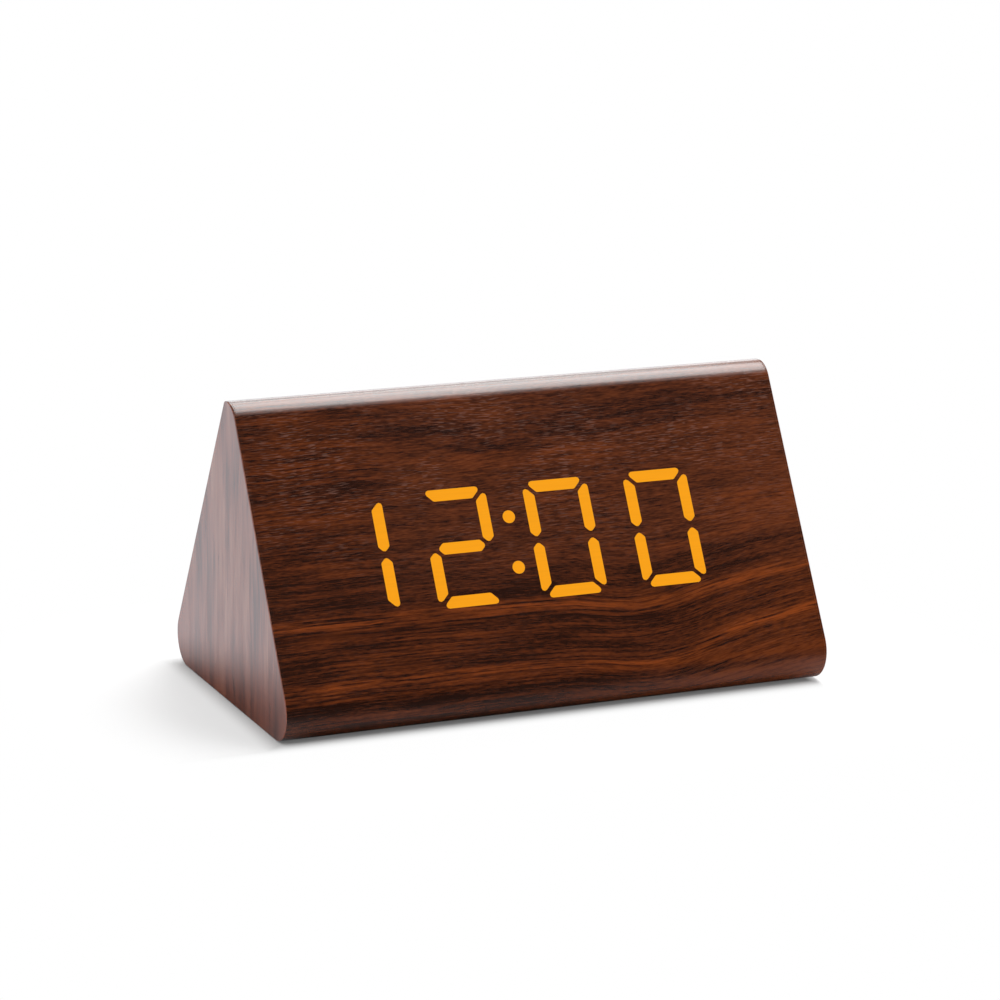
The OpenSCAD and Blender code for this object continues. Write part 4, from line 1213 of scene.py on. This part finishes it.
class CLOCK_OT_socket(ClockOperator, bpy.types.Operator):
    """Power inlet: folded steel shell, and a tongue with gold contacts"""
    bl_idname = "clock.socket"
    bl_label = "Power socket"

    def execute(self, context):
        sizes, tones, section = self.settings(context)
        back = section.slope("back", sizes.panel_rise)
        shell = softened("power_socket", "socket_shell", sizes.metal_round)
        dress(shell, plated("socket_steel", tones.steel, 0.28))
        seat(shell, "case", "steel", "power_socket")
        tongue = softened("socket_tongue", "socket_blade", sizes.metal_round)
        dress(tongue, moulded("tongue_plastic", tones.chip, 0.5))
        seat(tongue, "case", "black_part", "socket_tongue")
        low, high = extent("socket_tongue", back)
        thick = extent("socket_tongue", back, lambda p: p.z > high.z - NEAR)[1].y
        size = Vector((sizes.pad_w, sizes.pad_t, sizes.pad_l))
        pads = []
        for side in (-1, 1):
            for i in range(PADS):
                x = (low.x + high.x) / 2 + (i - (PADS - 1) / 2) * sizes.pad_step
                middle = Vector((x, side * thick, high.z - sizes.pad_l / 2 - sizes.pad_w))
                pads.append(block("pad", back, middle - size / 2, middle + size / 2))
        contacts = joined(*pads)
        contacts.name = contacts.data.name = "socket_contacts"
        apply(contacts, "BEVEL", width=sizes.pad_t / 4, segments=LINE_STEPS)
        dress(contacts, plated("contact_gold", tones.gold, 0.24))
        seat(contacts, "case", "steel")
        return {"FINISHED"}


class CLOCK_OT_base(ClockOperator, bpy.types.Operator):
    """Moulded base plate with eased edges"""
    bl_idname = "clock.base"
    bl_label = "Base plate"

    def execute(self, context):
        sizes, tones, _ = self.settings(context)
        under = below(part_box("base_plate")[0].z + HAIR)
        plate = softened("base_plate", "base_cover", sizes.mould_round, under)
        dress(plate, moulded("base_plastic", tones.plastic, 0.52))
        seat(plate, "case", "dark_plastic", "base_plate")
        return {"FINISHED"}


class CLOCK_OT_door(ClockOperator, bpy.types.Operator):
    """Battery door with grip ribs by its finger notch"""
    bl_idname = "clock.door"
    bl_label = "Battery door"

    def execute(self, context):
        sizes, tones, _ = self.settings(context)
        low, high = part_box("battery_door")
        door = softened("battery_door", "bay_door", sizes.mould_round, below(low.z + HAIR))
        half_w, half_l, tip = sizes.grip_w / 2, sizes.grip_l / 2, low.z - sizes.grip_t
        for i in range(GRIPS):
            x = high.x - sizes.grip_inset - i * sizes.grip_step
            rib = block("grip", Matrix(), (x - half_w, -half_l, tip),
                        (x + half_w, half_l, low.z + sizes.grip_sunk), 0.98 * half_w)
            round_edges(rib, below(tip + HAIR), 0.6 * sizes.grip_t, MOULD_STEPS)
            carve(door, rib, "UNION")
        dress(door, moulded("door_plastic", tones.plastic, 0.50))
        seat(door, "door", "dark_plastic", "battery_door")
        return {"FINISHED"}


class CLOCK_OT_cells(ClockOperator, bpy.types.Operator):
    """Four battery cells, turned once and laid in alternate directions"""
    bl_idname = "clock.cells"
    bl_label = "Battery cells"

    def execute(self, context):
        sizes, tones, _ = self.settings(context)
        low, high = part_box("battery_cell_1")
        r, end = (high.y - low.y) / 2, high.x - low.x
        cap_r, groove, soft = sizes.cell_cap_r, sizes.cell_groove, sizes.cell_round
        shoulder, lip, quarter = end - sizes.cell_cap_l, soft / 2, math.pi / 2

        # From the middle of the flat end: a groove, the sleeve, the shoulder's groove, the cap
        model = lathe("cell", (0.0, 0.0), [
            (0.76 * r, 0.0), (0.78 * r, groove), (0.85 * r, groove), (0.87 * r, 0.0),
            (r - soft, 0.0), (r - soft, soft, quarter), (r, shoulder - soft),
            (r - soft, shoulder - soft, quarter), (0.84 * r, shoulder),
            (0.82 * r, shoulder - groove), (cap_r + 0.5 * MM, shoulder - groove),
            (cap_r, shoulder), (cap_r, end - lip), (cap_r - lip, end - lip, quarter),
            (0.0, end)], CELL_TURN)
        for i in range(1, CELLS + 1):
            low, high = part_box(f"battery_cell_{i}")
            positive = i % 2 == 1
            middle = (low + high) / 2
            start = Vector((low.x if positive else high.x, middle.y, middle.z))
            turn = Matrix.Rotation(quarter if positive else -quarter, 4, "Y")
            cell = placed(model, f"cell_{i}", Matrix.Translation(start) @ turn)
            dress(cell, cell_wrap(f"cell_sleeve_{i}", tones, low.x, high.x, positive))
            seat(cell, "case", "cell_wrap", f"battery_cell_{i}")
        bpy.data.objects.remove(model)
        return {"FINISHED"}


class CLOCK_OT_inner_works(ClockOperator, bpy.types.Operator):
    """Finishes for the CAD pieces inside, by their material slots"""
    bl_idname = "clock.inner_works"
    bl_label = "Inner works"

    def execute(self, context):
        _, tones, section = self.settings(context)
        looks = {
            "fibreboard": fibreboard(tones),
            "amber_light": amber_light(tones, section),
            "milky_plastic": milky_plastic(tones),
            "circuit_board": circuit_board(tones),
            "led_chip": led_chip(tones),
            "black_part": moulded("part_plastic", tones.chip, 0.42),
            "dark_plastic": moulded("inner_plastic", tones.plastic),
            "key_plastic": moulded("plunger_plastic", tones.key, 0.38),
            "steel": plated("spring_steel", tones.steel),
            "cable": cable_jacket("lead_jacket", tones.lead),
            "display_ribbon": cable_jacket("ribbon_jacket", tones.cable, 1.0)}
        for name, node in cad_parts.items():
            if not node.hide_render:
                for place in node.material_slots:
                    place.material = looks[name if name in looks else place.material.name]
        return {"FINISHED"}


class CLOCK_OT_stage(ClockOperator, bpy.types.Operator):
    """Pale floor that curves up all round, soft lamps and the camera"""
    bl_idname = "clock.stage"
    bl_label = "Stage"

    def execute(self, context):
        stage = context.scene.clock_stage
        self.lay_floor(stage.floor)
        for name, (place, aim, size) in LAMPS.items():
            self.hang_lamp(name, place, aim, size, getattr(stage, name))
        self.set_world(context, stage)
        self.set_camera(context, stage)
        context.scene.view_settings.view_transform = "Standard"
        return {"FINISHED"}

    def lay_floor(self, tone):
        """Round floor just under the clock, with a rim that curves up, sizes in metres."""
        radius, rise, height = 3.0, 0.7, 1.1
        floor = lathe("floor", (0.0, -NEAR), [
            (radius - rise, -NEAR), (radius - rise, rise, math.pi / 2), (radius + NEAR, height)],
            FLOOR_TURN, FLOOR_STEPS)
        dress(floor, pale_floor(tone))
        smooth(floor, degrees=60.0)

    def hang_lamp(self, name, place, aim, size, radiance):
        """Soft rectangular lamp, set by its radiance."""
        solo()
        bpy.ops.object.light_add(type="AREA", location=place)
        lamp = named(name)
        lamp.data.shape = "RECTANGLE"
        lamp.data.size, lamp.data.size_y = size
        lamp.data.energy = radiance * math.pi * size[0] * size[1]
        lamp.rotation_euler = (Vector(aim) - Vector(place)).to_track_quat("-Z", "Y").to_euler()

    def set_world(self, context, stage):
        """Even white light, dim in reflections."""
        world = bpy.data.worlds.new("surround")
        world.use_nodes = True
        f = Finish("surround", world.node_tree)
        even = f.node("LightPath").other("Is Diffuse Ray")
        strength = stage.surround + even * (stage.sky - stage.surround)
        f.node("OutputWorld", {
            "Surface": f.node("Background", {"Color": WHITE, "Strength": strength})})
        context.scene.world = world

    def set_camera(self, context, stage):
        """Camera at the photograph's viewing angle."""
        a, e, r = stage.azimuth, stage.elevation, stage.roll
        back = Vector((math.sin(a) * math.cos(e), -math.cos(a) * math.cos(e), math.sin(e)))
        right = Vector((math.cos(a), math.sin(a), 0.0))
        up = back.cross(right)
        tilted = math.cos(r) * right + math.sin(r) * up
        upright = math.cos(r) * up - math.sin(r) * right
        solo()
        bpy.ops.object.camera_add()
        camera = named("camera")
        turn = Matrix((tilted, upright, back)).transposed().to_4x4()
        place = Vector(stage.target) + stage.distance * back
        camera.matrix_world = Matrix.Translation(place) @ turn
        camera.data.lens = stage.lens
        context.scene.camera = camera


class CLOCK_PT_sidebar(bpy.types.Panel):
    """The clock's pieces and settings"""
    bl_label = "Desk clock"
    bl_space_type = "VIEW_3D"
    bl_region_type = "UI"
    bl_category = "Clock"

    def draw(self, context):
        for operator in OPERATORS:
            self.layout.operator(operator.bl_idname)
        for name, group in GROUPS.items():
            box = self.layout.box()
            for setting in group.__annotations__:
                box.prop(getattr(context.scene, name), setting)


GROUPS = {"clock_sizes": ClockSizes, "clock_finish": ClockFinish, "clock_stage": ClockStage}
OPERATORS = (
    CLOCK_OT_walnut_body, CLOCK_OT_end_panels, CLOCK_OT_rear_panel, CLOCK_OT_keys,
    CLOCK_OT_screws, CLOCK_OT_socket, CLOCK_OT_base, CLOCK_OT_door, CLOCK_OT_cells,
    CLOCK_OT_inner_works, CLOCK_OT_stage)


def register():
    for cls in (*GROUPS.values(), *OPERATORS, CLOCK_PT_sidebar):
        bpy.utils.register_class(cls)
    for name, group in GROUPS.items():
        setattr(bpy.types.Scene, name, PointerProperty(type=group))


def unregister():
    for name in GROUPS:
        delattr(bpy.types.Scene, name)
    for cls in (CLOCK_PT_sidebar, *reversed(OPERATORS), *reversed(GROUPS.values())):
        bpy.utils.unregister_class(cls)


def main():
    register()
    for operator in OPERATORS:
        group, name = operator.bl_idname.split(".")
        getattr(getattr(bpy.ops, group), name)()
    solo()


if __name__ == "__main__":
    main()
